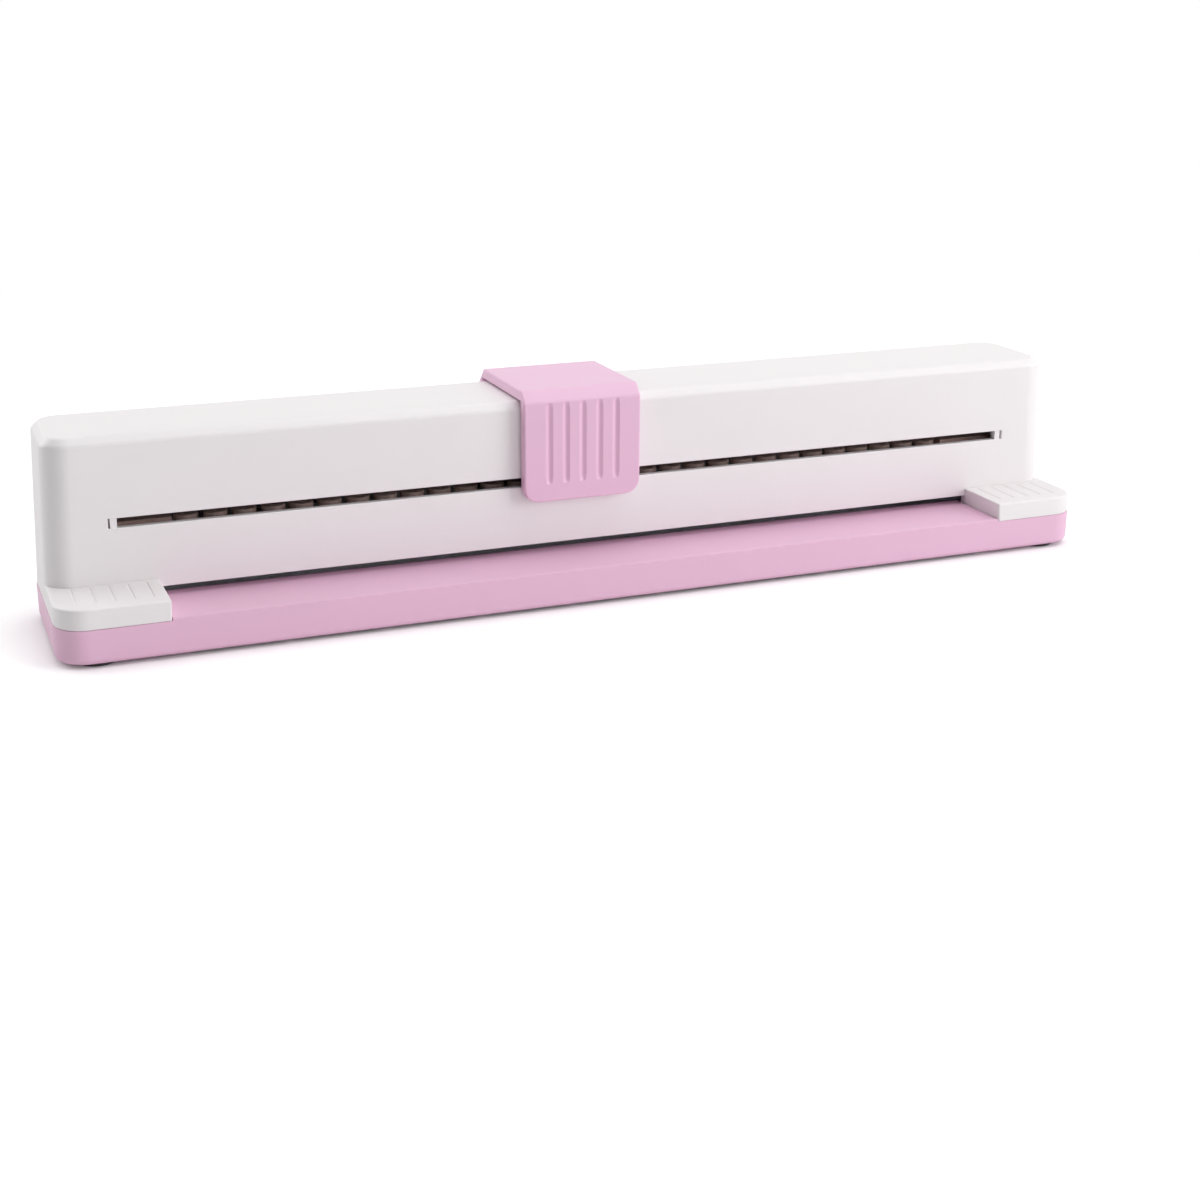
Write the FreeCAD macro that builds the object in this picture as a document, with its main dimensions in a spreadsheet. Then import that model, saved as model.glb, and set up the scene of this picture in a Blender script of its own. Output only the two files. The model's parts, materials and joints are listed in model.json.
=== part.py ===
import FreeCAD, Part
import math
import os

import Sketcher
from FreeCAD import Placement, Rotation, Vector

# Thirty-hole sliding punch, in millimetres.
# The frame stands on the table at Z 0, with X along the row of holes and Y from the sheet's side to the back.
# The origin is the middle of the footprint. Depths below are counted from the body's front face.

SIZES = {
    # the row of holes and the sheet
    "hole_count": 30,
    "hole_pitch": 9.5,
    "hole_margin": 6.5,
    "sheet_end_margin": 10.75,
    "sheet_clearance": 1.0,
    "row_setback": 13.0,
    # the outer body
    "end_block_length": 34.95,
    "block_depth": 23.0,
    "block_height": 6.65,
    "block_corner": 10.0,
    "body_depth": 38.3,
    "body_height": 53.8,
    "body_corner": 8.6,
    "top_chamfer": 2.3,
    "end_lean": 2.6,
    "shell_wall": 2.4,
    "shell_inset": 0.25,
    "grip_groove_count": 5,
    "grip_groove_pitch": 5.8,
    "grip_groove_width": 0.9,
    "grip_groove_depth": 0.5,
    "grip_groove_length": 16.0,
    "grip_groove_setback": 1.5,
    "grip_groove_inset": 4.2,
    # the base
    "foot_stand": 1.2,
    "base_height": 11.4,
    "base_floor": 1.6,
    "base_edge": 2.0,
    "bed_rise": 0.9,
    "side_gap": 0.2,
    "ledge_thickness": 2.0,
    "ledge_depth": 3.0,
    "cell_count": 9,
    "rib_thickness": 2.0,
    "foot_radius": 6.5,
    "foot_recess": 0.6,
    "foot_inset": 12.65,
    "front_foot_setback": 8.5,
    "rear_foot_setback": 22.0,
    # the punching stack
    "throat_height": 3.1,
    "lip_gap": 0.3,
    "die_thickness": 2.0,
    "guide_thickness": 3.0,
    "upper_guide_thickness": 2.0,
    "upper_guide_front": 7.0,
    "plate_front": 5.0,
    "plate_depth": 24.0,
    "plate_overhang": 11.5,
    "slide_fit": 0.05,
    "pin_radius": 2.75,
    "pin_tip_hollow": 0.8,
    "pin_tip_recess": 0.2,
    "pin_stroke": 4.3,
    "head_radius": 4.0,
    "head_thickness": 2.0,
    "head_bevel": 0.5,
    "head_spare": 0.2,
    "collar_radius": 3.7,
    "collar_thickness": 1.2,
    "spring_length": 7.2,
    "spring_inner_radius": 3.1,
    "spring_wire": 0.6,
    "run_on_gap": 1.0,
    "run_on_overhang": 5.0,
    "bolt_radius": 2.0,
    "bolt_head_radius": 3.5,
    "bolt_head_height": 2.2,
    "bolt_clearance": 0.15,
    "bolt_line_setback": 23.5,
    "bolt_end_inset": 5.75,
    "bolt_columns": 6,
    "spacer_radius": 3.2,
    # the press frame
    "frame_sheet": 2.0,
    "frame_bend": 2.0,
    "frame_foot_depth": 9.5,
    "frame_top_gap": 0.3,
    "rail_front": 4.5,
    # the slit and its stops
    "arm_lift": 1.2,
    "arm_thickness": 2.0,
    "arm_width": 34.0,
    "arm_clearance": 0.6,
    "arm_tongue": 1.8,
    "arm_rise": 13.1,
    "arm_front": 4.0,
    "slit_overrun": 14.5,
    "stop_length": 2.1,
    "stop_gap": 1.0,
    "stop_recess": 0.3,
    "stop_pad_lap": 1.1,
    "stop_pad_reach": 3.5,
    "stop_pad_height": 8.0,
    "stop_pad_depth": 2.4,
    # the slider
    "slider_rest": 6.67,
    "cap_width": 42.0,
    "cap_wall": 4.0,
    "cap_gap": 0.5,
    "cap_top_gap": 0.3,
    "cap_top_wall": 3.75,
    "cap_front_chamfer": 3.8,
    "cap_rear_chamfer": 5.3,
    "cap_skirt": 38.05,
    "cap_rear_skirt": 20.05,
    "cap_corner": 5.2,
    "cap_groove_count": 5,
    "cap_groove_pitch": 6.03,
    "cap_groove_width": 2.0,
    "cap_groove_depth": 0.9,
    "cap_groove_foot": 6.6,
    "cap_pocket_fit": 0.1,
    "rivet_radius": 1.5,
    "rivet_head_radius": 2.6,
    "rivet_head_height": 0.9,
    "rivet_spacing": 20.0,
    # the carriage and its rollers
    "roller_gap": 0.3,
    "roller_width": 8.0,
    "roller_side_gap": 0.5,
    "press_roller_radius": 9.0,
    "guide_roller_radius": 5.0,
    "guide_roller_spacing": 28.0,
    "pocket_gap": 0.6,
    "press_axle_radius": 2.5,
    "guide_axle_radius": 1.5,
    "cheek_thickness": 2.5,
    "carriage_length": 46.0,
    "carriage_lift": 1.1,
    "carriage_top_gap": 2.4,
    "back_gap": 0.3,
    "axle_end_gap": 0.2,
    # screws and the chip tray
    "screw_radius": 1.5,
    "screw_head_radius": 2.75,
    "screw_head_height": 1.8,
    "screw_hole_clearance": 0.1,
    "boss_radius": 3.5,
    "boss_height": 12.0,
    "pilot_end": 1.0,
    "boss_setback": 2.8,
    "boss_end_inset": 12.2,
    "block_screw_setback": 13.0,
    "block_screw_inset": 6.5,
    "tray_gap": 0.3,
    "tray_floor": 1.0,
    "tray_wall": 1.2,
    "tray_recess": 0.6,
    "tray_grip_width": 40.0,
    "tray_grip_depth": 1.8,
    "tray_grip_height": 1.4,
    "chip_window_margin": 5.5,
}

doc = FreeCAD.newDocument("sliding_punch")
sheet = doc.addObject("Spreadsheet::Sheet", "sizes")
for row, (alias, value) in enumerate(SIZES.items(), start=1):
    sheet.set(f"A{row}", alias)
    sheet.set(f"B{row}", str(value))
    sheet.setAlias(f"B{row}", alias)
doc.recompute()

# Plan: distances from the middle of the row
ROW_HALF = "(sizes.hole_pitch * (sizes.hole_count - 1) / 2)"
BAY = f"({ROW_HALF} + sizes.sheet_end_margin + sizes.sheet_clearance)"
HALF = f"({BAY} + sizes.end_block_length)"
SHELL_HALF = f"({HALF} - sizes.shell_inset)"
PLATE_HALF = f"({BAY} + sizes.plate_overhang)"
SLIT_HALF = f"({BAY} + sizes.slit_overrun)"
FACE = "((sizes.block_depth - sizes.body_depth - sizes.cap_gap - sizes.cap_wall) / 2)"

# Depths from the body's front face
PLATE_BACK = "(sizes.plate_front + sizes.plate_depth)"
SHEET_EDGE = "(sizes.row_setback + sizes.hole_margin)"
WEB_FRONT = f"({PLATE_BACK} - sizes.frame_sheet)"

# Heights above the table
PARTING = "(sizes.foot_stand + sizes.base_height)"
BED = f"({PARTING} + sizes.bed_rise)"
THROAT_TOP = f"({BED} + sizes.throat_height)"
GUIDE_TOP = f"({THROAT_TOP} + sizes.guide_thickness)"
COLLAR_LOW = f"({GUIDE_TOP} + sizes.spring_length)"
UPPER_LOW = f"({COLLAR_LOW} + sizes.collar_thickness)"
UPPER_TOP = f"({UPPER_LOW} + sizes.upper_guide_thickness)"
HEAD_LOW = f"({UPPER_TOP} + sizes.pin_stroke + sizes.head_spare)"
HEAD_TOP = f"({HEAD_LOW} + sizes.head_thickness)"
ARM_LOW = f"({HEAD_TOP} + sizes.arm_lift)"
ARM_TOP = f"({ARM_LOW} + sizes.arm_thickness)"
SLIT_LOW = f"({ARM_LOW} - sizes.arm_clearance)"
SLIT_TOP = f"({ARM_TOP} + sizes.arm_clearance)"
BODY_TOP = f"({PARTING} + sizes.body_height)"
CEILING = f"({BODY_TOP} - sizes.shell_wall)"
BLOCK_TOP = f"({PARTING} + sizes.block_height)"
RAIL_TOP = f"({CEILING} - sizes.frame_top_gap)"
RAIL_LOW = f"({RAIL_TOP} - sizes.frame_sheet)"
DIE_LOW = f"({BED} - sizes.die_thickness)"
CHAMBER_TOP = f"({DIE_LOW} - sizes.ledge_thickness)"
CHAMBER_LOW = "(sizes.foot_stand + sizes.base_floor)"
CAP_INSIDE = f"({BODY_TOP} + sizes.cap_top_gap)"
CAP_TOP = f"({CAP_INSIDE} + sizes.cap_top_wall)"
PRESS_AXIS = f"({HEAD_TOP} + sizes.roller_gap + sizes.press_roller_radius)"
GUIDE_AXIS = f"({RAIL_LOW} - sizes.roller_gap - sizes.guide_roller_radius)"
CARRIAGE_LOW = f"({ARM_LOW} + sizes.carriage_lift)"
CARRIAGE_TOP = f"({RAIL_LOW} - sizes.carriage_top_gap)"

BEYOND = "1"
NEAR = 0.05


def plane_of(body, role):
    for feature in body.Origin.OriginFeatures:
        if feature.Role == role:
            return feature
    raise ValueError(role)


def new_body(label, along="0", back="0"):
    """A body that stands where the row's own frame puts the front face."""
    body = doc.addObject("PartDesign::Body", label)
    body.setExpression("Placement.Base.x", along)
    body.setExpression("Placement.Base.y", f"{FACE} + {back}")
    return body


def new_sketch(body, name, role, offset):
    sketch = body.newObject("Sketcher::SketchObject", name)
    sketch.AttachmentSupport = [(plane_of(body, role), "")]
    sketch.MapMode = "FlatFace"
    sketch.setExpression("AttachmentOffset.Base.z", offset)
    return sketch


def bind_point(sketch, geometry, end, point):
    """Holds one point of a sketch at two expressions, across and up."""
    place = sketch.getPoint(geometry, end)
    for kind, start, expression in zip(("DistanceX", "DistanceY"), (place.x, place.y), point):
        index = sketch.addConstraint(Sketcher.Constraint(kind, -1, 1, geometry, end, start))
        sketch.setExpression(f"Constraints[{index}]", expression)


def add_loop(sketch, points):
    """A closed outline of straight sides whose corners are pairs of expressions."""
    first = sketch.GeometryCount
    count = len(points)
    ring = [
        Vector(50 * math.cos(2 * math.pi * step / count), 50 * math.sin(2 * math.pi * step / count), 0)
        for step in range(count)
    ]
    for step in range(count):
        sketch.addGeometry(Part.LineSegment(ring[step], ring[(step + 1) % count]))
    for step in range(count):
        after = first + (step + 1) % count
        sketch.addConstraint(Sketcher.Constraint("Coincident", first + step, 2, after, 1))
    for step, point in enumerate(points):
        bind_point(sketch, first + step, 1, point)


def outline(body, name, role, loops, offset="0"):
    sketch = new_sketch(body, name, role, offset)
    for points in loops:
        add_loop(sketch, points)
    return sketch


def rings(body, name, role, centres, radius, offset="0"):
    """Circles of one radius, each at a pair of expressions."""
    sketch = new_sketch(body, name, role, offset)
    for step, centre in enumerate(centres):
        circle = sketch.addGeometry(Part.Circle(Vector(10 * step, 5, 0), Vector(0, 0, 1), 2))
        bind_point(sketch, circle, 3, centre)
        index = sketch.addConstraint(Sketcher.Constraint("Radius", circle, 2))
        sketch.setExpression(f"Constraints[{index}]", radius)
    return sketch


def rectangle(left, right, low, high):
    return [(left, low), (right, low), (right, high), (left, high)]


def mirrored_rectangles(near, far, low, high):
    """The same rectangle on both sides of the middle."""
    return [rectangle(near, far, low, high), rectangle(f"-({far})", f"-({near})", low, high)]


def pad(body, sketch, length, backward=False, centred=False):
    feature = body.newObject("PartDesign::Pad", f"{sketch.Name}_pad")
    feature.Profile = sketch
    feature.setExpression("Length", length)
    feature.Reversed = backward
    feature.Midplane = centred
    return feature


def pocket(body, sketch, length, backward=False):
    """Cuts a sketch's outline along one way, and stops if nothing was cut."""
    doc.recompute()
    before = body.Shape.Volume
    feature = body.newObject("PartDesign::Pocket", f"{sketch.Name}_cut")
    feature.Profile = sketch
    feature.setExpression("Length", length)
    feature.Reversed = backward
    settle(feature)
    if not body.Shape.Volume < before:
        raise ValueError(f"{feature.Name} cuts nothing")
    return feature


def repeat(body, features, sketch, length, count, axis="H_Axis"):
    pattern = body.newObject("PartDesign::LinearPattern", f"{features[0].Name}_row")
    pattern.Originals = features
    pattern.Direction = (sketch, [axis])
    pattern.setExpression("Length", length)
    pattern.setExpression("Occurrences", count)
    body.Tip = pattern
    return pattern


def revolve(body, sketch):
    feature = body.newObject("PartDesign::Revolution", f"{sketch.Name}_turned")
    feature.Profile = sketch
    feature.ReferenceAxis = (sketch, ["V_Axis"])
    feature.Angle = 360
    return feature


def edges_where(shape, wanted):
    return [f"Edge{n}" for n, edge in enumerate(shape.Edges, start=1) if wanted(edge)]


def settle(feature):
    """Rebuilds the model and stops at a feature that failed."""
    doc.recompute()
    if feature.Shape.isNull() or not feature.Shape.isValid() or "Up-to-date" not in feature.State:
        raise ValueError(f"{feature.Name} failed: {feature.State}")


def dress(body, kind, name, wanted, size):
    """A fillet or chamfer on the edges of the body that the test picks."""
    doc.recompute()
    base = body.Tip
    names = edges_where(base.Shape, wanted)
    if not names:
        raise ValueError(f"{name} finds no edge")
    feature = body.newObject(f"PartDesign::{kind}", name)
    feature.Base = (base, names)
    feature.setExpression("Radius" if kind == "Fillet" else "Size", size)
    settle(feature)
    return feature


def is_upright(edge):
    """True for a straight edge that climbs, apart from a slight lean."""
    ends = [vertex.Point for vertex in edge.Vertexes]
    if len(ends) < 2 or not isinstance(edge.Curve, Part.Line):
        return False
    return abs((ends[1] - ends[0]).normalize().z) > 0.9


def is_level(edge, height):
    """True for an edge that lies at one height, within the slack of its box."""
    box = edge.BoundBox
    return abs(box.ZMax - height) < NEAR and abs(box.ZMin - height) < NEAR


def value(*names):
    """The sum of named sizes as a number."""
    return sum(float(sheet.get(name)) for name in names)


def bay_half():
    row_half = value("hole_pitch") * (value("hole_count") - 1) / 2
    return row_half + value("sheet_end_margin", "sheet_clearance")


def block(name, x, y, z):
    """A box between three pairs of expressions, with depths from the front face."""
    solid = doc.addObject("Part::Box", name)
    sides = (("Length", "x", x, "0"), ("Width", "y", y, FACE), ("Height", "z", z, "0"))
    for side, axis, (low, high), start in sides:
        solid.setExpression(side, f"({high}) - ({low})")
        solid.setExpression(f"Placement.Base.{axis}", f"{start} + ({low})")
    return solid


UPWARD = Rotation()
BACKWARD = Rotation(Vector(1, 0, 0), -90)


def rod(name, radius, length, x, y, z, turn=UPWARD):
    """A round rod from a foot at three expressions, standing up or lying towards the back."""
    solid = doc.addObject("Part::Cylinder", name)
    solid.Placement = Placement(Vector(), turn)
    solid.setExpression("Radius", radius)
    solid.setExpression("Height", length)
    solid.setExpression("Placement.Base.x", x)
    solid.setExpression("Placement.Base.y", f"{FACE} + ({y})")
    solid.setExpression("Placement.Base.z", z)
    return solid


def join(name, solids):
    fused = doc.addObject("Part::MultiFuse", name)
    fused.Shapes = solids
    return fused


def cut(name, solid, tool):
    result = doc.addObject("Part::Cut", name)
    result.Base = solid
    result.Tool = tool
    return result


def group(name, solids):
    """Separate solids that share one node."""
    compound = doc.addObject("Part::Compound", name)
    compound.Links = solids
    return compound


def both_sides(place):
    return (place, f"-({place})")


# The rounded white shell with its two end blocks


def make_upper_housing():
    body = new_body("upper_housing")
    top_half = f"({SHELL_HALF} - sizes.end_lean)"
    block_top_half = f"({SHELL_HALF} - sizes.end_lean * sizes.block_height / sizes.body_height)"

    hull = [
        (f"-{SHELL_HALF}", PARTING), (SHELL_HALF, PARTING),
        (top_half, BODY_TOP), (f"-{top_half}", BODY_TOP),
    ]
    pad(body, outline(body, "hull", "XZ_Plane", [hull]), "sizes.body_depth", backward=True)
    dress(body, "Fillet", "body_corners", is_upright, "sizes.body_corner")
    top = value("foot_stand", "base_height", "body_height")
    dress(body, "Chamfer", "top_bevel", lambda edge: is_level(edge, top), "sizes.top_chamfer")

    right = [(BAY, PARTING), (SHELL_HALF, PARTING), (block_top_half, BLOCK_TOP), (BAY, BLOCK_TOP)]
    left = [(f"-({across})", up) for across, up in right]
    blocks = outline(body, "end_blocks", "XZ_Plane", [right, left], "sizes.block_depth")
    pad(body, blocks, "sizes.block_depth + sizes.body_corner", backward=True)
    bay_edge = bay_half() + NEAR
    front = NEAR - value("block_depth")
    dress(
        body, "Fillet", "block_corners",
        lambda edge: is_upright(edge) and edge.BoundBox.YMax < front and abs(edge.BoundBox.XMax) > bay_edge,
        "sizes.block_corner",
    )
    groove_end = "-(sizes.grip_groove_setback + sizes.grip_groove_length)"
    grooves = []
    for side in (1, -1):
        for step in range(int(value("grip_groove_count"))):
            middle = f"({side} * ({BAY} + sizes.grip_groove_inset + {step} * sizes.grip_groove_pitch))"
            grooves.append(rectangle(
                f"{middle} - sizes.grip_groove_width / 2", f"{middle} + sizes.grip_groove_width / 2",
                groove_end, "-sizes.grip_groove_setback",
            ))
    lines = outline(body, "grip_grooves", "XY_Plane", grooves, f"{BLOCK_TOP} + {BEYOND}")
    pocket(body, lines, f"sizes.grip_groove_depth + {BEYOND}")

    low = f"{PARTING} - {BEYOND}"
    hollow_half = f"({top_half} - sizes.shell_wall)"
    cut_off = "((sizes.body_corner - sizes.shell_wall) * (2 - sqrt(2)))"
    hollow_front = "sizes.shell_wall"
    hollow_back = "(sizes.body_depth - sizes.shell_wall)"
    right_side = [
        (f"({hollow_half} - {cut_off})", hollow_front), (hollow_half, f"({hollow_front} + {cut_off})"),
        (hollow_half, f"({hollow_back} - {cut_off})"), (f"({hollow_half} - {cut_off})", hollow_back),
    ]
    left_side = [(f"-{across}", up) for across, up in reversed(right_side)]
    inside = outline(body, "hollow", "XY_Plane", [right_side + left_side], low)
    pocket(body, inside, f"{CEILING} - {PARTING} + {BEYOND}", backward=True)

    near = f"({BAY} + sizes.shell_wall)"
    far = f"({SHELL_HALF} - sizes.shell_wall - sizes.end_lean * sizes.block_height / sizes.body_height)"
    nose = "(sizes.shell_wall - sizes.block_depth)"
    bevel = "((sizes.block_corner - sizes.shell_wall) * (2 - sqrt(2)))"
    right_void = [
        (near, "0"), (near, nose),
        (f"{far} - {bevel}", nose), (far, f"{nose} + {bevel}"), (far, "0"),
    ]
    left_void = [(f"-({across})", up) for across, up in right_void]
    voids = outline(body, "block_hollows", "XY_Plane", [right_void, left_void], low)
    pocket(body, voids, f"sizes.block_height - sizes.shell_wall + {BEYOND}", backward=True)

    posts = rings(body, "corner_bosses", "XY_Plane", corner_screws(), "sizes.boss_radius", PARTING)
    pad(body, posts, "sizes.boss_height")
    stubs = rings(body, "block_bosses", "XY_Plane", block_screws(), "sizes.boss_radius", PARTING)
    pad(body, stubs, "sizes.block_height - sizes.shell_wall / 2")
    pilot = "sizes.screw_radius + sizes.slide_fit"
    deep = rings(body, "corner_pilots", "XY_Plane", corner_screws(), pilot, low)
    pocket(body, deep, f"sizes.boss_height - sizes.pilot_end + {BEYOND}", backward=True)
    short = rings(body, "block_pilots", "XY_Plane", block_screws(), pilot, low)
    pocket(body, short, f"sizes.block_height - sizes.shell_wall + {BEYOND}", backward=True)

    mouth = outline(body, "throat", "XZ_Plane", [rectangle(f"-{BAY}", BAY, low, THROAT_TOP)], BEYOND)
    pocket(body, mouth, f"sizes.shell_wall + 2 * {BEYOND}")
    lip_top = f"{THROAT_TOP} + sizes.shell_wall"
    lip = outline(
        body, "throat_lip", "XZ_Plane", [rectangle(f"-{BAY}", BAY, THROAT_TOP, lip_top)],
        "-sizes.shell_wall / 2",
    )
    pad(body, lip, "sizes.plate_front - sizes.lip_gap - sizes.shell_wall / 2", backward=True)
    slit = outline(
        body, "slit", "XZ_Plane",
        [rectangle(f"-{SLIT_HALF}", SLIT_HALF, SLIT_LOW, SLIT_TOP)], BEYOND,
    )
    pocket(body, slit, f"sizes.shell_wall + 2 * {BEYOND}")
    return body


def corner_screws():
    """The screws beside the body's four corners."""
    across = f"({SHELL_HALF} - sizes.boss_end_inset)"
    front = "(sizes.shell_wall + sizes.boss_setback)"
    return [(x, y) for x in both_sides(across) for y in (front, f"(sizes.body_depth - {front})")]


def block_screws():
    return [(x, "-sizes.block_screw_setback") for x in both_sides(f"({BAY} + sizes.block_screw_inset)")]


def die_screws():
    """The screws that hold the die plate down on the base."""
    middle = "((sizes.plate_front + sizes.bolt_line_setback) / 2)"
    return [(x, middle) for x in both_sides(f"({PLATE_HALF} - sizes.bolt_end_inset)")]


def foot_places():
    across = f"({HALF} - sizes.foot_inset)"
    return [(x, y) for x in both_sides(across)
            for y in (f"(-sizes.block_depth + sizes.front_foot_setback)", "sizes.rear_foot_setback")]


# The coloured base with its raised bed, chip chamber and ribs


def make_lower_base():
    body = new_body("lower_base")
    footprint = rectangle(f"-{HALF}", HALF, "-sizes.block_depth", "sizes.body_depth")
    pad(body, outline(body, "footprint", "XY_Plane", [footprint], "sizes.foot_stand"), "sizes.base_height")
    dress(
        body, "Fillet", "front_corners",
        lambda edge: is_upright(edge) and edge.BoundBox.YMax < 0, "sizes.block_corner",
    )
    dress(
        body, "Fillet", "rear_corners",
        lambda edge: is_upright(edge) and edge.BoundBox.YMin > value("body_depth") - NEAR,
        "sizes.body_corner",
    )
    dress(
        body, "Fillet", "bottom_edge", lambda edge: is_level(edge, value("foot_stand")), "sizes.base_edge",
    )

    bed_half = f"({BAY} - sizes.side_gap)"
    seat_front = "(sizes.plate_front - sizes.side_gap)"
    bed = outline(
        body, "bed", "XY_Plane", [rectangle(f"-{bed_half}", bed_half, "-sizes.block_depth", seat_front)],
        f"{PARTING} - {BEYOND}",
    )
    pad(body, bed, f"sizes.bed_rise + {BEYOND}")

    seat_half = f"({PLATE_HALF} + sizes.side_gap)"
    seat_back = f"({PLATE_BACK} + sizes.side_gap)"
    seat = outline(
        body, "die_seat", "XY_Plane", [rectangle(f"-{seat_half}", seat_half, seat_front, seat_back)],
        f"{BED} + {BEYOND}",
    )
    pocket(body, seat, f"sizes.die_thickness + {BEYOND}")

    window_half = f"({ROW_HALF} + sizes.chip_window_margin)"
    window_front = "(sizes.plate_front + sizes.ledge_depth)"
    window_back = f"({PLATE_BACK} - sizes.ledge_depth)"
    window = outline(
        body, "chip_window", "XY_Plane",
        [rectangle(f"-{window_half}", window_half, window_front, window_back)], f"{DIE_LOW} + {BEYOND}",
    )
    pocket(body, window, f"sizes.ledge_thickness + 2 * {BEYOND}")

    chamber = outline(
        body, "chip_chamber", "XY_Plane",
        [rectangle(f"-{CHAMBER_HALF}", CHAMBER_HALF, CHAMBER_FRONT, f"sizes.body_depth + {BEYOND}")],
        CHAMBER_LOW,
    )
    pocket(body, chamber, f"{CHAMBER_TOP} - {CHAMBER_LOW}", backward=True)

    pitch = f"(2 * {CHAMBER_HALF} / sizes.cell_count)"
    first = f"(-{CHAMBER_HALF} + sizes.rib_thickness / 2)"
    cell = outline(
        body, "rib_cells", "XY_Plane",
        [rectangle(
            first, f"{first} + {pitch} - sizes.rib_thickness",
            "-sizes.block_depth + sizes.shell_wall", f"{CHAMBER_FRONT} - sizes.shell_wall",
        )],
        f"sizes.foot_stand - {BEYOND}",
    )
    cells = pocket(body, cell, f"{BED} - sizes.shell_wall - sizes.foot_stand + {BEYOND}", backward=True)
    repeat(body, [cells], cell, f"{pitch} * (sizes.cell_count - 1)", "sizes.cell_count")

    near = f"({seat_half} + sizes.shell_wall)"
    far = f"({HALF} - sizes.shell_wall)"
    boss_low = "(sizes.shell_wall + sizes.boss_setback + sizes.boss_radius)"
    wells = outline(
        body, "end_wells", "XY_Plane",
        mirrored_rectangles(near, far, boss_low, f"(sizes.body_depth - {boss_low})"), f"{PARTING} + {BEYOND}",
    )
    pocket(body, wells, f"{PARTING} - {CHAMBER_LOW} - sizes.foot_recess + {BEYOND}")

    under = "sizes.foot_stand"
    hole = "sizes.screw_radius + sizes.screw_hole_clearance"
    counter = "sizes.screw_head_radius + sizes.screw_hole_clearance"
    screws = corner_screws() + block_screws() + die_screws()
    pocket(body, rings(body, "screw_holes", "XY_Plane", screws, hole, f"{under} - {BEYOND}"),
           f"sizes.base_height + {BEYOND} + sizes.bed_rise", backward=True)
    pocket(body, rings(body, "screw_counterbores", "XY_Plane", screws, counter, f"{under} - {BEYOND}"),
           f"sizes.screw_head_height + {BEYOND}", backward=True)
    recess = rings(body, "foot_recesses", "XY_Plane", foot_places(),
                   "sizes.foot_radius + sizes.screw_hole_clearance", f"{under} - {BEYOND}")
    pocket(body, recess, f"sizes.foot_recess + {BEYOND}", backward=True)
    return body


TRAY_HALF = f"({ROW_HALF} + sizes.chip_window_margin + sizes.tray_wall + sizes.tray_gap)"
CHAMBER_HALF = f"({TRAY_HALF} + sizes.tray_gap)"
CHAMBER_FRONT = "(sizes.plate_front - sizes.tray_wall - 2 * sizes.tray_gap)"


def make_chip_tray():
    body = new_body("chip_tray")
    low = f"({CHAMBER_LOW} + sizes.tray_gap)"
    high = f"({CHAMBER_TOP} - sizes.tray_gap)"
    front = f"({CHAMBER_FRONT} + sizes.tray_gap)"
    back = "(sizes.body_depth - sizes.tray_recess)"
    shell = outline(body, "tray", "XY_Plane", [rectangle(f"-{TRAY_HALF}", TRAY_HALF, front, back)], low)
    pad(body, shell, f"{high} - {low}")
    inner = f"({TRAY_HALF} - sizes.tray_wall)"
    hollow = outline(
        body, "tray_hollow", "XY_Plane",
        [rectangle(f"-{inner}", inner, f"{front} + sizes.tray_wall", f"{back} - sizes.tray_wall")],
        f"{high} + {BEYOND}",
    )
    pocket(body, hollow, f"{high} - {low} - sizes.tray_floor + {BEYOND}")
    grip = outline(
        body, "tray_grip", "XY_Plane",
        [rectangle("-sizes.tray_grip_width / 2", "sizes.tray_grip_width / 2",
                   f"{back} - sizes.tray_wall / 2", f"{back} + sizes.tray_grip_depth")],
        f"{high} - sizes.tray_grip_height",
    )
    pad(body, grip, "sizes.tray_grip_height")
    return body


# The plates of the punching stack


def bolt_places():
    """The bolt line along the back of the stack."""
    far = f"({PLATE_HALF} - sizes.bolt_end_inset)"
    last = int(value("bolt_columns")) - 1
    return [
        (f"({far} * {2 * column - last} / {last})", "sizes.bolt_line_setback")
        for column in range(last + 1)
    ]


def punched_plate(label, front, back, low, thickness, hole_radius):
    """A steel bar with the row of holes for the pins and the bolt holes behind them."""
    body = new_body(label)
    sides = rectangle(f"-{PLATE_HALF}", PLATE_HALF, front, back)
    pad(body, outline(body, f"{label}_bar", "XY_Plane", [sides], low), thickness)
    above = f"{low} + {thickness} + {BEYOND}"
    through = f"{thickness} + 2 * {BEYOND}"
    end_hole = (f"-{ROW_HALF}", "sizes.row_setback")
    first = rings(body, f"{label}_hole", "XY_Plane", [end_hole], hole_radius, above)
    hole = pocket(body, first, through)
    repeat(body, [hole], first, f"2 * {ROW_HALF}", "sizes.hole_count")
    bolts = rings(body, f"{label}_bolt_holes", "XY_Plane", bolt_places(),
                  "sizes.bolt_radius + sizes.bolt_clearance", above)
    pocket(body, bolts, through)
    return body


def make_die_plate():
    running = "sizes.pin_radius + sizes.slide_fit"
    body = punched_plate(
        "die_plate", "sizes.plate_front", PLATE_BACK, DIE_LOW, "sizes.die_thickness", running,
    )
    screws = rings(body, "die_screw_holes", "XY_Plane", die_screws(),
                   "sizes.screw_radius + sizes.slide_fit", f"{BED} + {BEYOND}")
    pocket(body, screws, f"sizes.die_thickness + 2 * {BEYOND}")
    return body


def make_guide_plate():
    running = "sizes.pin_radius + sizes.slide_fit"
    return punched_plate(
        "guide_plate", "sizes.plate_front", PLATE_BACK, THROAT_TOP, "sizes.guide_thickness", running,
    )


def make_upper_guide():
    running = "sizes.pin_radius + sizes.slide_fit"
    return punched_plate(
        "upper_guide", "sizes.upper_guide_front", WEB_FRONT, UPPER_LOW,
        "sizes.upper_guide_thickness", running,
    )


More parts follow.
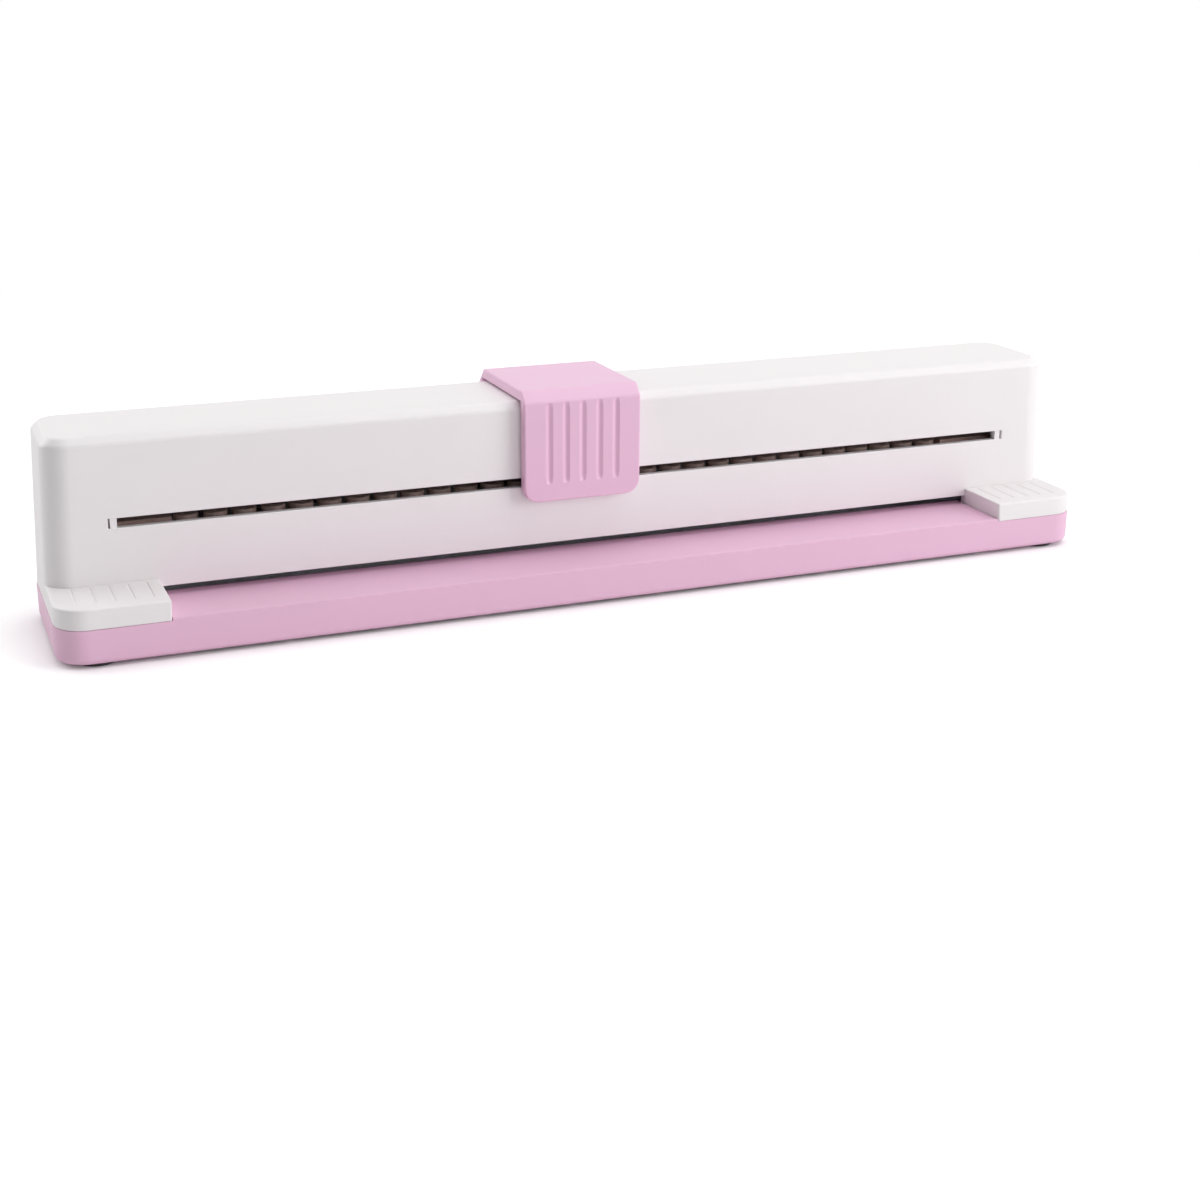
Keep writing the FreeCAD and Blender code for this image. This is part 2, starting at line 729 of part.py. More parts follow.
def make_paper_stop():
    body = new_body("paper_stop")
    bar = rectangle(f"-{PLATE_HALF}", PLATE_HALF, SHEET_EDGE, PLATE_BACK)
    pad(body, outline(body, "stop_bar", "XY_Plane", [bar], BED), "sizes.throat_height")
    bolts = rings(body, "stop_bolt_holes", "XY_Plane", bolt_places(),
                  "sizes.bolt_radius + sizes.bolt_clearance", f"{THROAT_TOP} + {BEYOND}")
    pocket(body, bolts, f"sizes.throat_height + 2 * {BEYOND}")
    return body


def make_end_spacers():
    """Packing strips that close the sheet's slot at both ends."""
    near = f"({BAY} + sizes.side_gap)"
    strips = [
        block(f"end_strip_{side}", x, ("sizes.plate_front", SHEET_EDGE), (BED, THROAT_TOP))
        for side, x in (("right", (near, PLATE_HALF)), ("left", (f"-{PLATE_HALF}", f"-{near}")))
    ]
    tools = [
        rod(f"end_strip_hole_{step}", "sizes.screw_radius + sizes.screw_hole_clearance",
            "sizes.throat_height", x, y, BED)
        for step, (x, y) in enumerate(die_screws())
    ]
    return group("end_spacers", [cut(f"end_spacer_{n}", strip, tool)
                                 for n, (strip, tool) in enumerate(zip(strips, tools))])


def make_run_on_bars():
    """Bars beyond the first and last heads, as high as the heads, so that the roller runs on level."""
    near = f"({ROW_HALF} + sizes.head_radius + sizes.run_on_gap)"
    far = f"({PLATE_HALF} + sizes.run_on_overhang)"
    depths = ("sizes.row_setback - sizes.head_radius", "sizes.row_setback + sizes.head_radius")
    return group("run_on_bars", [
        block(f"run_on_bar_{side}", x, depths, (UPPER_TOP, HEAD_TOP))
        for side, x in (("right", (near, far)), ("left", (f"-{far}", f"-{near}")))
    ])


def make_press_frame():
    """A folded channel whose foot lies on the stack and whose roof carries the carriage's rollers."""
    body = new_body("press_frame")
    foot_front = f"({PLATE_BACK} - sizes.frame_foot_depth)"
    foot_top = f"({GUIDE_TOP} + sizes.frame_sheet)"
    profile = [
        (foot_front, GUIDE_TOP), (PLATE_BACK, GUIDE_TOP),
        (PLATE_BACK, RAIL_TOP), ("sizes.rail_front", RAIL_TOP),
        ("sizes.rail_front", RAIL_LOW), (WEB_FRONT, RAIL_LOW),
        (WEB_FRONT, foot_top), (foot_front, foot_top),
    ]
    pad(body, outline(body, "channel", "YZ_Plane", [profile]), f"2 * {PLATE_HALF}", centred=True)
    back = value("plate_front", "plate_depth") - NEAR
    dress(
        body, "Fillet", "outer_bends",
        lambda edge: edge.BoundBox.XLength > 2 * bay_half() and edge.BoundBox.YMin > back,
        "sizes.frame_bend",
    )
    bolts = rings(body, "frame_bolt_holes", "XY_Plane", bolt_places(),
                  "sizes.bolt_radius + sizes.bolt_clearance", f"{foot_top} + {BEYOND}")
    pocket(body, bolts, f"sizes.frame_sheet + 2 * {BEYOND}")
    return body


def make_stack_bolts():
    """Bolts that clamp the stack from the upper guide down to the die plate."""
    bolts = []
    for step, (x, y) in enumerate(bolt_places()):
        shank = rod(f"bolt_shank_{step}", "sizes.bolt_radius", f"{UPPER_TOP} - {DIE_LOW}", x, y, DIE_LOW)
        head = rod(f"bolt_head_{step}", "sizes.bolt_head_radius", "sizes.bolt_head_height", x, y, UPPER_TOP)
        bolts.append(join(f"bolt_{step}", [shank, head]))
    return group("stack_bolts", bolts)


def make_stack_spacers():
    foot_top = f"({GUIDE_TOP} + sizes.frame_sheet)"
    tubes = []
    for step, (x, y) in enumerate(bolt_places()):
        outside = rod(f"spacer_outside_{step}", "sizes.spacer_radius",
                      f"{UPPER_LOW} - {foot_top}", x, y, foot_top)
        bore = rod(f"spacer_bore_{step}", "sizes.bolt_radius + sizes.bolt_clearance",
                   f"{UPPER_LOW} - {foot_top}", x, y, foot_top)
        tubes.append(cut(f"spacer_{step}", outside, bore))
    return group("stack_spacers", tubes)


def pin_place(step):
    return f"(({step} - (sizes.hole_count - 1) / 2) * sizes.hole_pitch)"


def make_punch_pin(step):
    """A turned pin with a hollow-ground tip, a collar under the upper guide and a mushroom head."""
    label = f"punch_pin_{step + 1:02d}"
    body = new_body(label, pin_place(step), "sizes.row_setback")
    tip = f"({THROAT_TOP} + sizes.pin_tip_recess)"
    radius = "sizes.pin_radius"
    profile = [
        ("0", f"{tip} + sizes.pin_tip_hollow"), (radius, tip), (radius, COLLAR_LOW),
        ("sizes.collar_radius", COLLAR_LOW), ("sizes.collar_radius", UPPER_LOW), (radius, UPPER_LOW),
        (radius, HEAD_LOW), ("sizes.head_radius", HEAD_LOW),
        ("sizes.head_radius", f"{HEAD_TOP} - sizes.head_bevel"),
        ("sizes.head_radius - sizes.head_bevel", HEAD_TOP), ("0", HEAD_TOP),
    ]
    revolve(body, outline(body, f"{label}_profile", "XZ_Plane", [profile]))
    return body


def make_return_springs():
    """Plain sleeves that fill the space of the small coil springs."""
    sleeves = []
    for step in range(int(value("hole_count"))):
        place = (pin_place(step), "sizes.row_setback", GUIDE_TOP)
        outside = rod(f"spring_outside_{step}", "sizes.spring_inner_radius + sizes.spring_wire",
                      "sizes.spring_length", *place)
        inside = rod(f"spring_inside_{step}", "sizes.spring_inner_radius", "sizes.spring_length", *place)
        sleeves.append(cut(f"spring_{step}", outside, inside))
    return group("return_springs", sleeves)


def make_end_stops():
    """A nose near each end of the slit, on a pad behind the wall, where the arm comes to rest."""
    stops = []
    middle = f"(({SLIT_LOW} + {SLIT_TOP}) / 2)"
    far = f"({SLIT_HALF} - sizes.stop_gap)"
    near = f"({far} - sizes.stop_length)"
    pad_near = f"({far} - sizes.stop_pad_lap)"
    pad_far = f"({SLIT_HALF} + sizes.stop_pad_reach)"
    pad_heights = (f"{middle} - sizes.stop_pad_height / 2", f"{middle} + sizes.stop_pad_height / 2")
    for side, nose_x, pad_x in (
        ("right", (near, far), (pad_near, pad_far)),
        ("left", (f"-{far}", f"-{near}"), (f"-{pad_far}", f"-{pad_near}")),
    ):
        nose = block(f"stop_nose_{side}", nose_x,
                     ("sizes.stop_recess", "sizes.shell_wall"), (SLIT_LOW, SLIT_TOP))
        backing = block(f"stop_pad_{side}", pad_x,
                        ("sizes.shell_wall", "sizes.shell_wall + sizes.stop_pad_depth"), pad_heights)
        stops.append(join(f"end_stop_{side}", [nose, backing]))
    return group("end_stops", stops)


def screws_at(name, places, length):
    """Pan-head screws driven up from the underside of the base."""
    screws = []
    seat = "(sizes.foot_stand + sizes.screw_head_height)"
    for step, (x, y) in enumerate(places):
        shank = rod(f"{name}_shank_{step}", "sizes.screw_radius", length, x, y, seat)
        head = rod(f"{name}_head_{step}", "sizes.screw_head_radius",
                   "sizes.screw_head_height - sizes.side_gap", x, y, "sizes.foot_stand + sizes.side_gap")
        screws.append(join(f"{name}_{step}", [shank, head]))
    return screws


def make_housing_screws():
    above_seat = "sizes.base_height - sizes.screw_head_height"
    length = f"{above_seat} + sizes.boss_height - sizes.pilot_end - sizes.side_gap"
    return group("housing_screws", screws_at("corner_screw", corner_screws(), length))


def make_block_screws():
    above_seat = "sizes.base_height - sizes.screw_head_height"
    length = f"{above_seat} + sizes.block_height - sizes.shell_wall - sizes.side_gap"
    return group("block_screws", screws_at("block_screw", block_screws(), length))


def make_die_screws():
    length = f"{THROAT_TOP} - sizes.side_gap - sizes.foot_stand - sizes.screw_head_height"
    return group("die_screws", screws_at("die_screw", die_screws(), length))


def make_feet():
    return group("feet", [
        rod(f"foot_{step}", "sizes.foot_radius", "sizes.foot_stand + sizes.foot_recess", x, y, "0")
        for step, (x, y) in enumerate(foot_places())
    ])


# The saddle that the hand pushes along, and what it carries

REST = "(-sizes.slider_rest)"


def make_slider_cap():
    body = new_body("slider_cap", REST)
    front = "(-sizes.cap_gap - sizes.cap_wall)"
    back = "(sizes.body_depth + sizes.cap_gap + sizes.cap_wall)"
    inside_front = "(-sizes.cap_gap)"
    inside_back = "(sizes.body_depth + sizes.cap_gap)"
    skirt = f"({CAP_TOP} - sizes.cap_skirt)"
    rear_skirt = f"({CAP_TOP} - sizes.cap_rear_skirt)"
    profile = [
        (front, skirt), (front, f"{CAP_TOP} - sizes.cap_front_chamfer"),
        (f"{front} + sizes.cap_front_chamfer", CAP_TOP), (f"{back} - sizes.cap_rear_chamfer", CAP_TOP),
        (back, f"{CAP_TOP} - sizes.cap_rear_chamfer"), (back, rear_skirt),
        (inside_back, rear_skirt), (inside_back, CAP_INSIDE),
        (inside_front, CAP_INSIDE), (inside_front, skirt),
    ]
    pad(body, outline(body, "saddle", "YZ_Plane", [profile]), "sizes.cap_width", centred=True)
    top = value("foot_stand", "base_height", "body_height", "cap_top_gap", "cap_top_wall")
    low_edges = (top - value("cap_skirt"), top - value("cap_rear_skirt"))
    dress(
        body, "Fillet", "skirt_corners",
        lambda edge: edge.BoundBox.YLength > value("cap_wall") - NEAR and edge.BoundBox.XLength < NEAR
        and any(is_level(edge, height) for height in low_edges),
        "sizes.cap_corner",
    )

    foot = f"({skirt} + sizes.cap_groove_foot)"
    half = "(sizes.cap_groove_width / 2)"
    first = "(-sizes.cap_groove_pitch * (sizes.cap_groove_count - 1) / 2)"
    ahead = f"-{front} + {BEYOND}"
    deep = f"sizes.cap_groove_depth + {BEYOND}"
    straight = outline(
        body, "finger_groove", "XZ_Plane",
        [rectangle(f"{first} - {half}", f"{first} + {half}", f"{foot} + {half}", f"{CAP_TOP} + {BEYOND}")],
        ahead,
    )
    groove = pocket(body, straight, deep)
    toe = rings(body, "finger_groove_toe", "XZ_Plane", [(first, f"{foot} + {half}")], half, ahead)
    round_end = pocket(body, toe, deep)
    repeat(body, [groove, round_end], straight, "sizes.cap_groove_pitch * (sizes.cap_groove_count - 1)",
           "sizes.cap_groove_count")

    fit = "sizes.cap_pocket_fit"
    half_arm = f"(sizes.arm_width / 2 + {fit})"
    socket = outline(
        body, "arm_socket", "XZ_Plane",
        [rectangle(f"-{half_arm}", half_arm, f"{ARM_LOW} - {fit}", f"{ARM_TOP} + {fit}")], f"-{BEYOND}",
    )
    pocket(body, socket, f"sizes.cap_gap + sizes.arm_tongue + {fit} + {BEYOND}", backward=True)
    return body


def rivet_places():
    return [(x, f"({PRESS_AXIS} + sizes.press_axle_radius)") for x in both_sides("(sizes.rivet_spacing / 2)")]


CHEEK_FRONT = "(sizes.arm_front + sizes.arm_thickness)"
ROLLER_FRONT = "(sizes.row_setback - sizes.roller_width / 2)"
SLOT_FRONT = f"({ROLLER_FRONT} - sizes.roller_side_gap)"
SLOT_BACK = "(sizes.row_setback + sizes.roller_width / 2 + sizes.roller_side_gap)"
CARRIAGE_BACK = f"({WEB_FRONT} - sizes.back_gap)"


def make_slider_arm():
    """A folded plate from the socket in the saddle, through the slit, to the carriage."""
    body = new_body("slider_arm", REST)
    nose = "(-sizes.cap_gap - sizes.arm_tongue)"
    top = f"({ARM_TOP} + sizes.arm_rise)"
    profile = [
        (nose, ARM_LOW), (CHEEK_FRONT, ARM_LOW), (CHEEK_FRONT, top), ("sizes.arm_front", top),
        ("sizes.arm_front", ARM_TOP), (nose, ARM_TOP),
    ]
    pad(body, outline(body, "arm", "YZ_Plane", [profile]), "sizes.arm_width", centred=True)
    holes = rings(body, "arm_rivet_holes", "XZ_Plane", rivet_places(), "sizes.rivet_radius + sizes.slide_fit",
                  f"-sizes.arm_front + {BEYOND}")
    pocket(body, holes, f"sizes.arm_thickness + 2 * {BEYOND}")
    return body


def make_arm_rivets():
    rivets = []
    for step, (x, z) in enumerate(rivet_places()):
        shank = rod(f"rivet_shank_{step}", "sizes.rivet_radius",
                    "sizes.arm_thickness + sizes.cheek_thickness",
                    f"{REST} + {x}", "sizes.arm_front", z, BACKWARD)
        head = rod(f"rivet_head_{step}", "sizes.rivet_head_radius", "sizes.rivet_head_height",
                   f"{REST} + {x}", "sizes.arm_front - sizes.rivet_head_height", z, BACKWARD)
        rivets.append(join(f"rivet_{step}", [shank, head]))
    return group("arm_rivets", rivets)


def make_carriage():
    """The block that hangs the press roller over the pins and runs two rollers under the frame's roof."""
    body = new_body("carriage", REST)
    half = "(sizes.carriage_length / 2)"
    face = rectangle(f"-{half}", half, CARRIAGE_LOW, CARRIAGE_TOP)
    pad(body, outline(body, "carriage_block", "XZ_Plane", [face], f"-{CHEEK_FRONT}"),
        f"{CARRIAGE_BACK} - {CHEEK_FRONT}", backward=True)

    press_half = "(sizes.press_roller_radius + sizes.pocket_gap)"
    guide_half = "(sizes.guide_roller_radius + sizes.pocket_gap)"
    spread = "(sizes.guide_roller_spacing / 2)"
    slot_depth = f"{SLOT_BACK} - {SLOT_FRONT}"
    press_slot = outline(
        body, "press_slot", "XZ_Plane",
        [rectangle(f"-{press_half}", press_half,
                   f"{CARRIAGE_LOW} - {BEYOND}", f"{PRESS_AXIS} + {press_half}")],
        f"-{SLOT_FRONT}",
    )
    pocket(body, press_slot, slot_depth)
    guide_slots = outline(
        body, "guide_slots", "XZ_Plane",
        mirrored_rectangles(f"({spread} - {guide_half})", f"({spread} + {guide_half})",
                            f"{GUIDE_AXIS} - {guide_half}", f"{CARRIAGE_TOP} + {BEYOND}"),
        f"-{SLOT_FRONT}",
    )
    pocket(body, guide_slots, slot_depth)

    through = f"{CARRIAGE_BACK} - {CHEEK_FRONT} + 2 * {BEYOND}"
    ahead = f"-{CHEEK_FRONT} + {BEYOND}"
    press_hole = rings(body, "press_axle_hole", "XZ_Plane", [("0", PRESS_AXIS)],
                       "sizes.press_axle_radius + sizes.slide_fit", ahead)
    pocket(body, press_hole, through)
    guide_holes = rings(body, "guide_axle_holes", "XZ_Plane", [(x, GUIDE_AXIS) for x in both_sides(spread)],
                        "sizes.guide_axle_radius + sizes.slide_fit", ahead)
    pocket(body, guide_holes, through)
    rivets = rings(body, "carriage_rivet_holes", "XZ_Plane", rivet_places(),
                   "sizes.rivet_radius + sizes.slide_fit", ahead)
    pocket(body, rivets, f"sizes.cheek_thickness + {BEYOND}")
    return body


def make_axle(label, radius, x, z):
    length = f"{CARRIAGE_BACK} - {CHEEK_FRONT} - 2 * sizes.axle_end_gap"
    return rod(label, radius, length, f"{REST} + {x}", f"{CHEEK_FRONT} + sizes.axle_end_gap", z, BACKWARD)


def make_guide_axles():
    spread = "(sizes.guide_roller_spacing / 2)"
    return group("guide_axles", [
        make_axle(f"guide_axle_{side}", "sizes.guide_axle_radius", x, GUIDE_AXIS)
        for side, x in zip(("right", "left"), both_sides(spread))
    ])


def make_roller(label, radius, bore, x, z):
    """A turned roller whose bore runs on its axle."""
    rim = rod(f"{label}_rim", radius, "sizes.roller_width", f"{REST} + {x}", ROLLER_FRONT, z, BACKWARD)
    hole = rod(f"{label}_bore", bore, f"sizes.roller_width + 2 * {BEYOND}", f"{REST} + {x}",
               f"{ROLLER_FRONT} - {BEYOND}", z, BACKWARD)
    return cut(label, rim, hole)


def make_rollers():
    spread = "(sizes.guide_roller_spacing / 2)"
    guide_bore = "sizes.guide_axle_radius + sizes.slide_fit"
    return [
        make_roller("press_roller", "sizes.press_roller_radius", "sizes.press_axle_radius + sizes.slide_fit",
                    "0", PRESS_AXIS),
        make_roller("guide_roller_right", "sizes.guide_roller_radius", guide_bore, spread, GUIDE_AXIS),
        make_roller("guide_roller_left", "sizes.guide_roller_radius", guide_bore, f"-{spread}", GUIDE_AXIS),
    ]


def build():
    nodes = [
        make_upper_housing(), make_lower_base(), make_chip_tray(), make_die_plate(), make_guide_plate(),
        make_upper_guide(), make_paper_stop(), make_end_spacers(), make_run_on_bars(), make_press_frame(),
        make_stack_bolts(), make_stack_spacers(), make_return_springs(), make_end_stops(),
        make_housing_screws(),
        make_block_screws(), make_die_screws(), make_feet(), make_slider_cap(), make_slider_arm(),
        make_arm_rivets(), make_carriage(),
        make_axle("press_axle", "sizes.press_axle_radius", "0", PRESS_AXIS), make_guide_axles(),
    ]
    nodes += make_rollers()
    nodes += [make_punch_pin(step) for step in range(int(value("hole_count")))]
    return nodes


def check(nodes):
    for thing in doc.Objects:
        if "Invalid" in thing.State or "Error" in thing.State:
            raise ValueError(f"{thing.Name} failed to rebuild")
    for node in nodes:
        if node.Shape.isNull() or not node.Shape.isValid() or not node.Shape.Solids:
            raise ValueError(f"{node.Label} has no valid solid")


def export(nodes):
    os.makedirs("parts", exist_ok=True)
    for node in nodes:
        node.Shape.exportStep(f"parts/{node.Label}.step")
        box = node.Shape.BoundBox
        print(f"{node.Label}: {len(node.Shape.Solids)} solids, {node.Shape.Volume:.1f} mm3, "
              f"x {box.XMin:.2f} {box.XMax:.2f}, y {box.YMin:.2f} {box.YMax:.2f}, "
              f"z {box.ZMin:.2f} {box.ZMax:.2f}")


pieces = build()
doc.recompute()
check(pieces)
export(pieces)
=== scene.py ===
"""Looks of a thirty-hole desk punch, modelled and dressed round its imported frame.

Sizes are in millimetres in the row frame: +X along the row of holes, +Y from the
sheet's side to the back, +Z up from the table.
"""

import json
import logging
import math
from collections.abc import Callable, Iterable, Sequence
from dataclasses import dataclass, field
from enum import Enum

import bmesh
import bpy
from mathutils import Matrix, Vector


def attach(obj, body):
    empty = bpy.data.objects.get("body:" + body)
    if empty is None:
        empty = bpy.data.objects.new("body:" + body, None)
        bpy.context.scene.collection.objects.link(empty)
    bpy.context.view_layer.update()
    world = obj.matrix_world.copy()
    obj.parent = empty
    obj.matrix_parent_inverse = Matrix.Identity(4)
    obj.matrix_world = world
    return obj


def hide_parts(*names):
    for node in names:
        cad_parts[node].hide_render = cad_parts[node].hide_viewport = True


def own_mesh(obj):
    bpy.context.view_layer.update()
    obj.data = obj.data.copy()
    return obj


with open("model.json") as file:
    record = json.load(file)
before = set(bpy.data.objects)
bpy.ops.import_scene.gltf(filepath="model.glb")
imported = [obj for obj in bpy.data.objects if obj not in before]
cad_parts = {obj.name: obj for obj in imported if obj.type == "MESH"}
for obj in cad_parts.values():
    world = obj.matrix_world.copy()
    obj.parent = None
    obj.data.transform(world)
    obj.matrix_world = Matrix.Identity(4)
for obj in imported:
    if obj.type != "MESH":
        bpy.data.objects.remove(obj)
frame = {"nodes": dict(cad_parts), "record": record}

logging.basicConfig(level=logging.INFO, format="%(name)s: %(message)s")
log = logging.getLogger("desk_punch")

MM = 0.001
# Two lengths that differ by less than this many millimetres are the same.
NEAR = 0.02
MERGE_WITHIN = NEAR * MM / 4
DROP_BELOW = NEAR * MM / 20
# The least cosine between a face's normal and the way that it looks.
FACING = 0.9
# How far, in millimetres, a cutter reaches beyond the surface that it cuts.
PAST = 1.0

Pair = tuple[float, float]
Triple = tuple[float, float, float]
Colour = tuple[int, int, int]
Shade = tuple[float, float, float, float]
Socket = bpy.types.NodeSocket
PointTest = Callable[[Vector], bool]
EdgeTest = Callable[[Vector, Vector], bool]
FaceTest = Callable[[Vector, Vector], bool]


def near(first: float, second: float) -> bool:
    """Tells whether two lengths in millimetres are the same."""
    return abs(first - second) < NEAR


def metres(point: Iterable[float]) -> Vector:
    """Turns a point in millimetres into metres."""
    return Vector([value * MM for value in point])


def both_ends(*places: Pair) -> tuple[Pair, ...]:
    """Gives each place with its mirror image at the other end."""
    return tuple((side * x, y) for x, y in places for side in (1, -1))


def span(side: int, inner: float, outer: float) -> Pair:
    """Gives the lowest and highest place of a stretch on one side of the middle."""
    return (inner, outer) if side > 0 else (-outer, -inner)


def anywhere(*_: Vector) -> bool:
    """The test that every point, edge and face passes."""
    return True


def upright(first: Vector, second: Vector) -> bool:
    """Tells whether an edge stands upright."""
    return near(first.x, second.x) and near(first.y, second.y)


def at_height(height: float) -> EdgeTest:
    """Gives the test for edges at one height."""
    return lambda first, second: near(first.z, height) and near(second.z, height)


class Turn(Enum):
    """The way a turned piece points once it leaves the lathe."""

    UP = (0.0, 0.0, 0.0)
    BACKWARD = (-math.pi / 2, 0.0, 0.0)


class Way(Enum):
    """A direction in the row frame."""

    RIGHT = (1.0, 0.0, 0.0)
    BACK = (0.0, 1.0, 0.0)
    FRONT = (0.0, -1.0, 0.0)
    UP = (0.0, 0.0, 1.0)
    DOWN = (0.0, 0.0, -1.0)


class Kind(Enum):
    """What an edit picks."""

    POINTS = "VERT"
    EDGES = "EDGE"
    FACES = "FACE"


class Joint(Enum):
    """How one solid is put together with another."""

    CUT = "DIFFERENCE"
    ADD = "UNION"


def facing(way: Way, where: PointTest = anywhere) -> FaceTest:
    """Gives the test for faces that look one way and whose middle passes a test."""
    return lambda middle, normal: normal.dot(Vector(way.value)) > FACING and where(middle)


class Blank:
    """A mesh on the bench, shaped in edit mode. All its lengths are millimetres in the row frame."""

    bevel_style = {"profile": 0.5, "affect": "EDGES", "clamp_overlap": False}
    run_out = ((0.2, 0.5), (0.5, 0.85), (1.0, 1.0))
    flat_within = math.radians(0.2)
    smooth_within = math.radians(28.0)

    def __init__(self, solid: bpy.types.Object, name: str) -> None:
        """Takes an object onto the bench and names it and its mesh.

        Args:
            solid: The object that holds the mesh.
            name: The name of the piece.
        """
        self.solid = solid
        self.solid.name = name
        self.solid.data.name = name

    @staticmethod
    def clear_bench() -> None:
        """Leaves nothing selected, so that an operator acts on the new piece alone."""
        bpy.ops.object.select_all(action="DESELECT")

    @classmethod
    def fresh(cls, name: str) -> "Blank":
        """Takes the object that an operator has just added, with its place put into its mesh."""
        bpy.ops.object.transform_apply(location=True, rotation=True, scale=True)
        return cls(bpy.context.object, name)

    @classmethod
    def block(cls, name: str, low: Triple, high: Triple) -> "Blank":
        """Adds a rectangular block between its lowest and its highest corner.

        Args:
            name: The name of the piece.
            low: The lowest corner.
            high: The highest corner.

        Returns:
            The blank.
        """
        cls.clear_bench()
        size = [(top - bottom) * MM for bottom, top in zip(low, high, strict=True)]
        middle = [(top + bottom) / 2 * MM for bottom, top in zip(low, high, strict=True)]
        bpy.ops.mesh.primitive_cube_add(size=1.0, location=middle, scale=size)
        return cls.fresh(name)

    @classmethod
    def rod(cls, name: str, radius: float, ends: Pair, at: Pair, sides: int) -> "Blank":
        """Adds an upright rod.

        Args:
            name: The name of the piece.
            radius: The rod's radius.
            ends: The heights of its lower and its upper end.
            at: Where its axis stands.
            sides: The number of its sides.

        Returns:
            The blank.
        """
        cls.clear_bench()
        low, high = ends
        bpy.ops.mesh.primitive_cylinder_add(vertices=sides, radius=radius * MM, depth=(high - low) * MM,
                                            location=metres((*at, (low + high) / 2)))
        return cls.fresh(name)

    @classmethod
    def turned(cls, name: str, profile: Sequence[Pair], sides: int, closed: bool = False) -> "Blank":
        """Turns a profile about the upright axis at the origin.

        Args:
            name: The name of the piece.
            profile: The points (radius, height) along the outline, from the lower end to the upper.
            sides: The number of steps round the axis.
            closed: True if the outline is a ring that stays clear of the axis.

        Returns:
            The blank.
        """
        cls.clear_bench()
        start = metres((profile[0][0], 0.0, profile[0][1]))
        bpy.ops.mesh.primitive_plane_add(size=MM, location=start)
        blank = cls.fresh(name)
        bpy.ops.object.mode_set(mode="EDIT")
        bpy.ops.mesh.select_mode(type="VERT")
        bpy.ops.mesh.select_all(action="SELECT")
        bpy.ops.mesh.merge(type="CENTER")
        for (near_x, near_z), (far_x, far_z) in zip(profile, profile[1:]):
            step = metres((far_x - near_x, 0.0, far_z - near_z))
            bpy.ops.mesh.extrude_region_move(TRANSFORM_OT_translate={"value": step})
        if closed:
            bpy.ops.mesh.select_all(action="DESELECT")
            bm = bmesh.from_edit_mesh(blank.solid.data)
            bm.verts.ensure_lookup_table()
            for end in (0, -1):
                bm.verts[end].select_set(True)
            bmesh.update_edit_mesh(blank.solid.data)
            bpy.ops.mesh.edge_face_add()
        bpy.ops.mesh.select_all(action="SELECT")
        bpy.ops.mesh.spin(steps=sides, angle=2 * math.pi, center=(0, 0, 0), axis=(0, 0, 1))
        bpy.ops.mesh.select_all(action="SELECT")
        bpy.ops.mesh.remove_doubles(threshold=MERGE_WITHIN)
        bpy.ops.mesh.normals_make_consistent(inside=False)
        bpy.ops.object.mode_set(mode="OBJECT")
        return blank

    @classmethod
    def valley(cls, name: str, half: float, depth: float, ends: Pair, run: float,
               lip: float = 0.05, steps: int = 12) -> "Blank":
        """Makes the cutter of a soft upright groove in the plane y = 0, which runs out at both ends.

        Args:
            name: The name of the piece.
            half: Half of the groove's width.
            depth: How far the groove goes towards +Y.
            ends: The heights of its two ends.
            run: The length over which each end runs out.
            lip: How far the cutter's edge stays in front of the plane.
            steps: The number of steps across it.

        Returns:
            The blank.
        """
        low, high = ends
        cutter = cls.block(name, (-half, -lip - PAST, low), (half, -lip, high))
        places = [half * (2 * step / steps - 1) for step in range(1, steps)]
        for across in places:
            cutter.split(anywhere, (across, 0.0, 0.0), Way.RIGHT)
        levels = [((low + run * share, high - run * share), sunk) for share, sunk in cls.run_out]
        for heights, _ in levels:
            for height in heights:
                cutter.split(anywhere, (0.0, 0.0, height), Way.UP)
        for across in places:
            deepest = (depth + lip) * (1 + math.cos(math.pi * across / half)) / 2
            for heights, sunk in levels:
                cutter.shift(
                    lambda point: near(point.x, across) and point.y > -lip - PAST / 2
                    and any(near(point.z, height) for height in heights),
                    (0.0, sunk * deepest, 0.0),
                )
        return cutter

    def hold(self) -> None:
        """Makes this the only selected and the active object."""
        self.clear_bench()
        self.solid.select_set(True)
        bpy.context.view_layer.objects.active = self.solid

    def edit(self, kind: Kind, wanted: Callable[..., bool], operator: Callable[..., object],
             **settings: object) -> "Blank":
        """Runs an edit-mode operator on what passes a test.

        Args:
            kind: What to pick.
            wanted: The test, given a point, an edge's two ends, or a face's middle and normal.
            operator: The operator.
            **settings: The operator's settings.

        Returns:
            The blank.
        """
        self.hold()
        bpy.ops.object.mode_set(mode="EDIT")
        bpy.ops.mesh.select_mode(type=kind.value)
        bpy.ops.mesh.select_all(action="DESELECT")
        bm = bmesh.from_edit_mesh(self.solid.data)
        if kind is Kind.POINTS:
            found = [vert for vert in bm.verts if wanted(vert.co / MM)]
        elif kind is Kind.EDGES:
            found = [edge for edge in bm.edges if wanted(edge.verts[0].co / MM, edge.verts[1].co / MM)]
        else:
            found = [face for face in bm.faces if wanted(face.calc_center_median() / MM, face.normal)]
        for element in found:
            element.select_set(True)
        bm.select_flush_mode()
        bmesh.update_edit_mesh(self.solid.data)
        if found:
            operator(**settings)
        else:
            log.warning("%s: nothing to edit", self.solid.name)
        bpy.ops.object.mode_set(mode="OBJECT")
        return self

    def edit_all(self, operator: Callable[..., object], **settings: object) -> "Blank":
        """Runs an edit-mode operator on the whole mesh.

        Args:
            operator: The operator.
            **settings: The operator's settings.

        Returns:
            The blank.
        """
        self.hold()
        bpy.ops.object.mode_set(mode="EDIT")
        bpy.ops.mesh.select_all(action="SELECT")
        operator(**settings)
        bpy.ops.object.mode_set(mode="OBJECT")
        return self

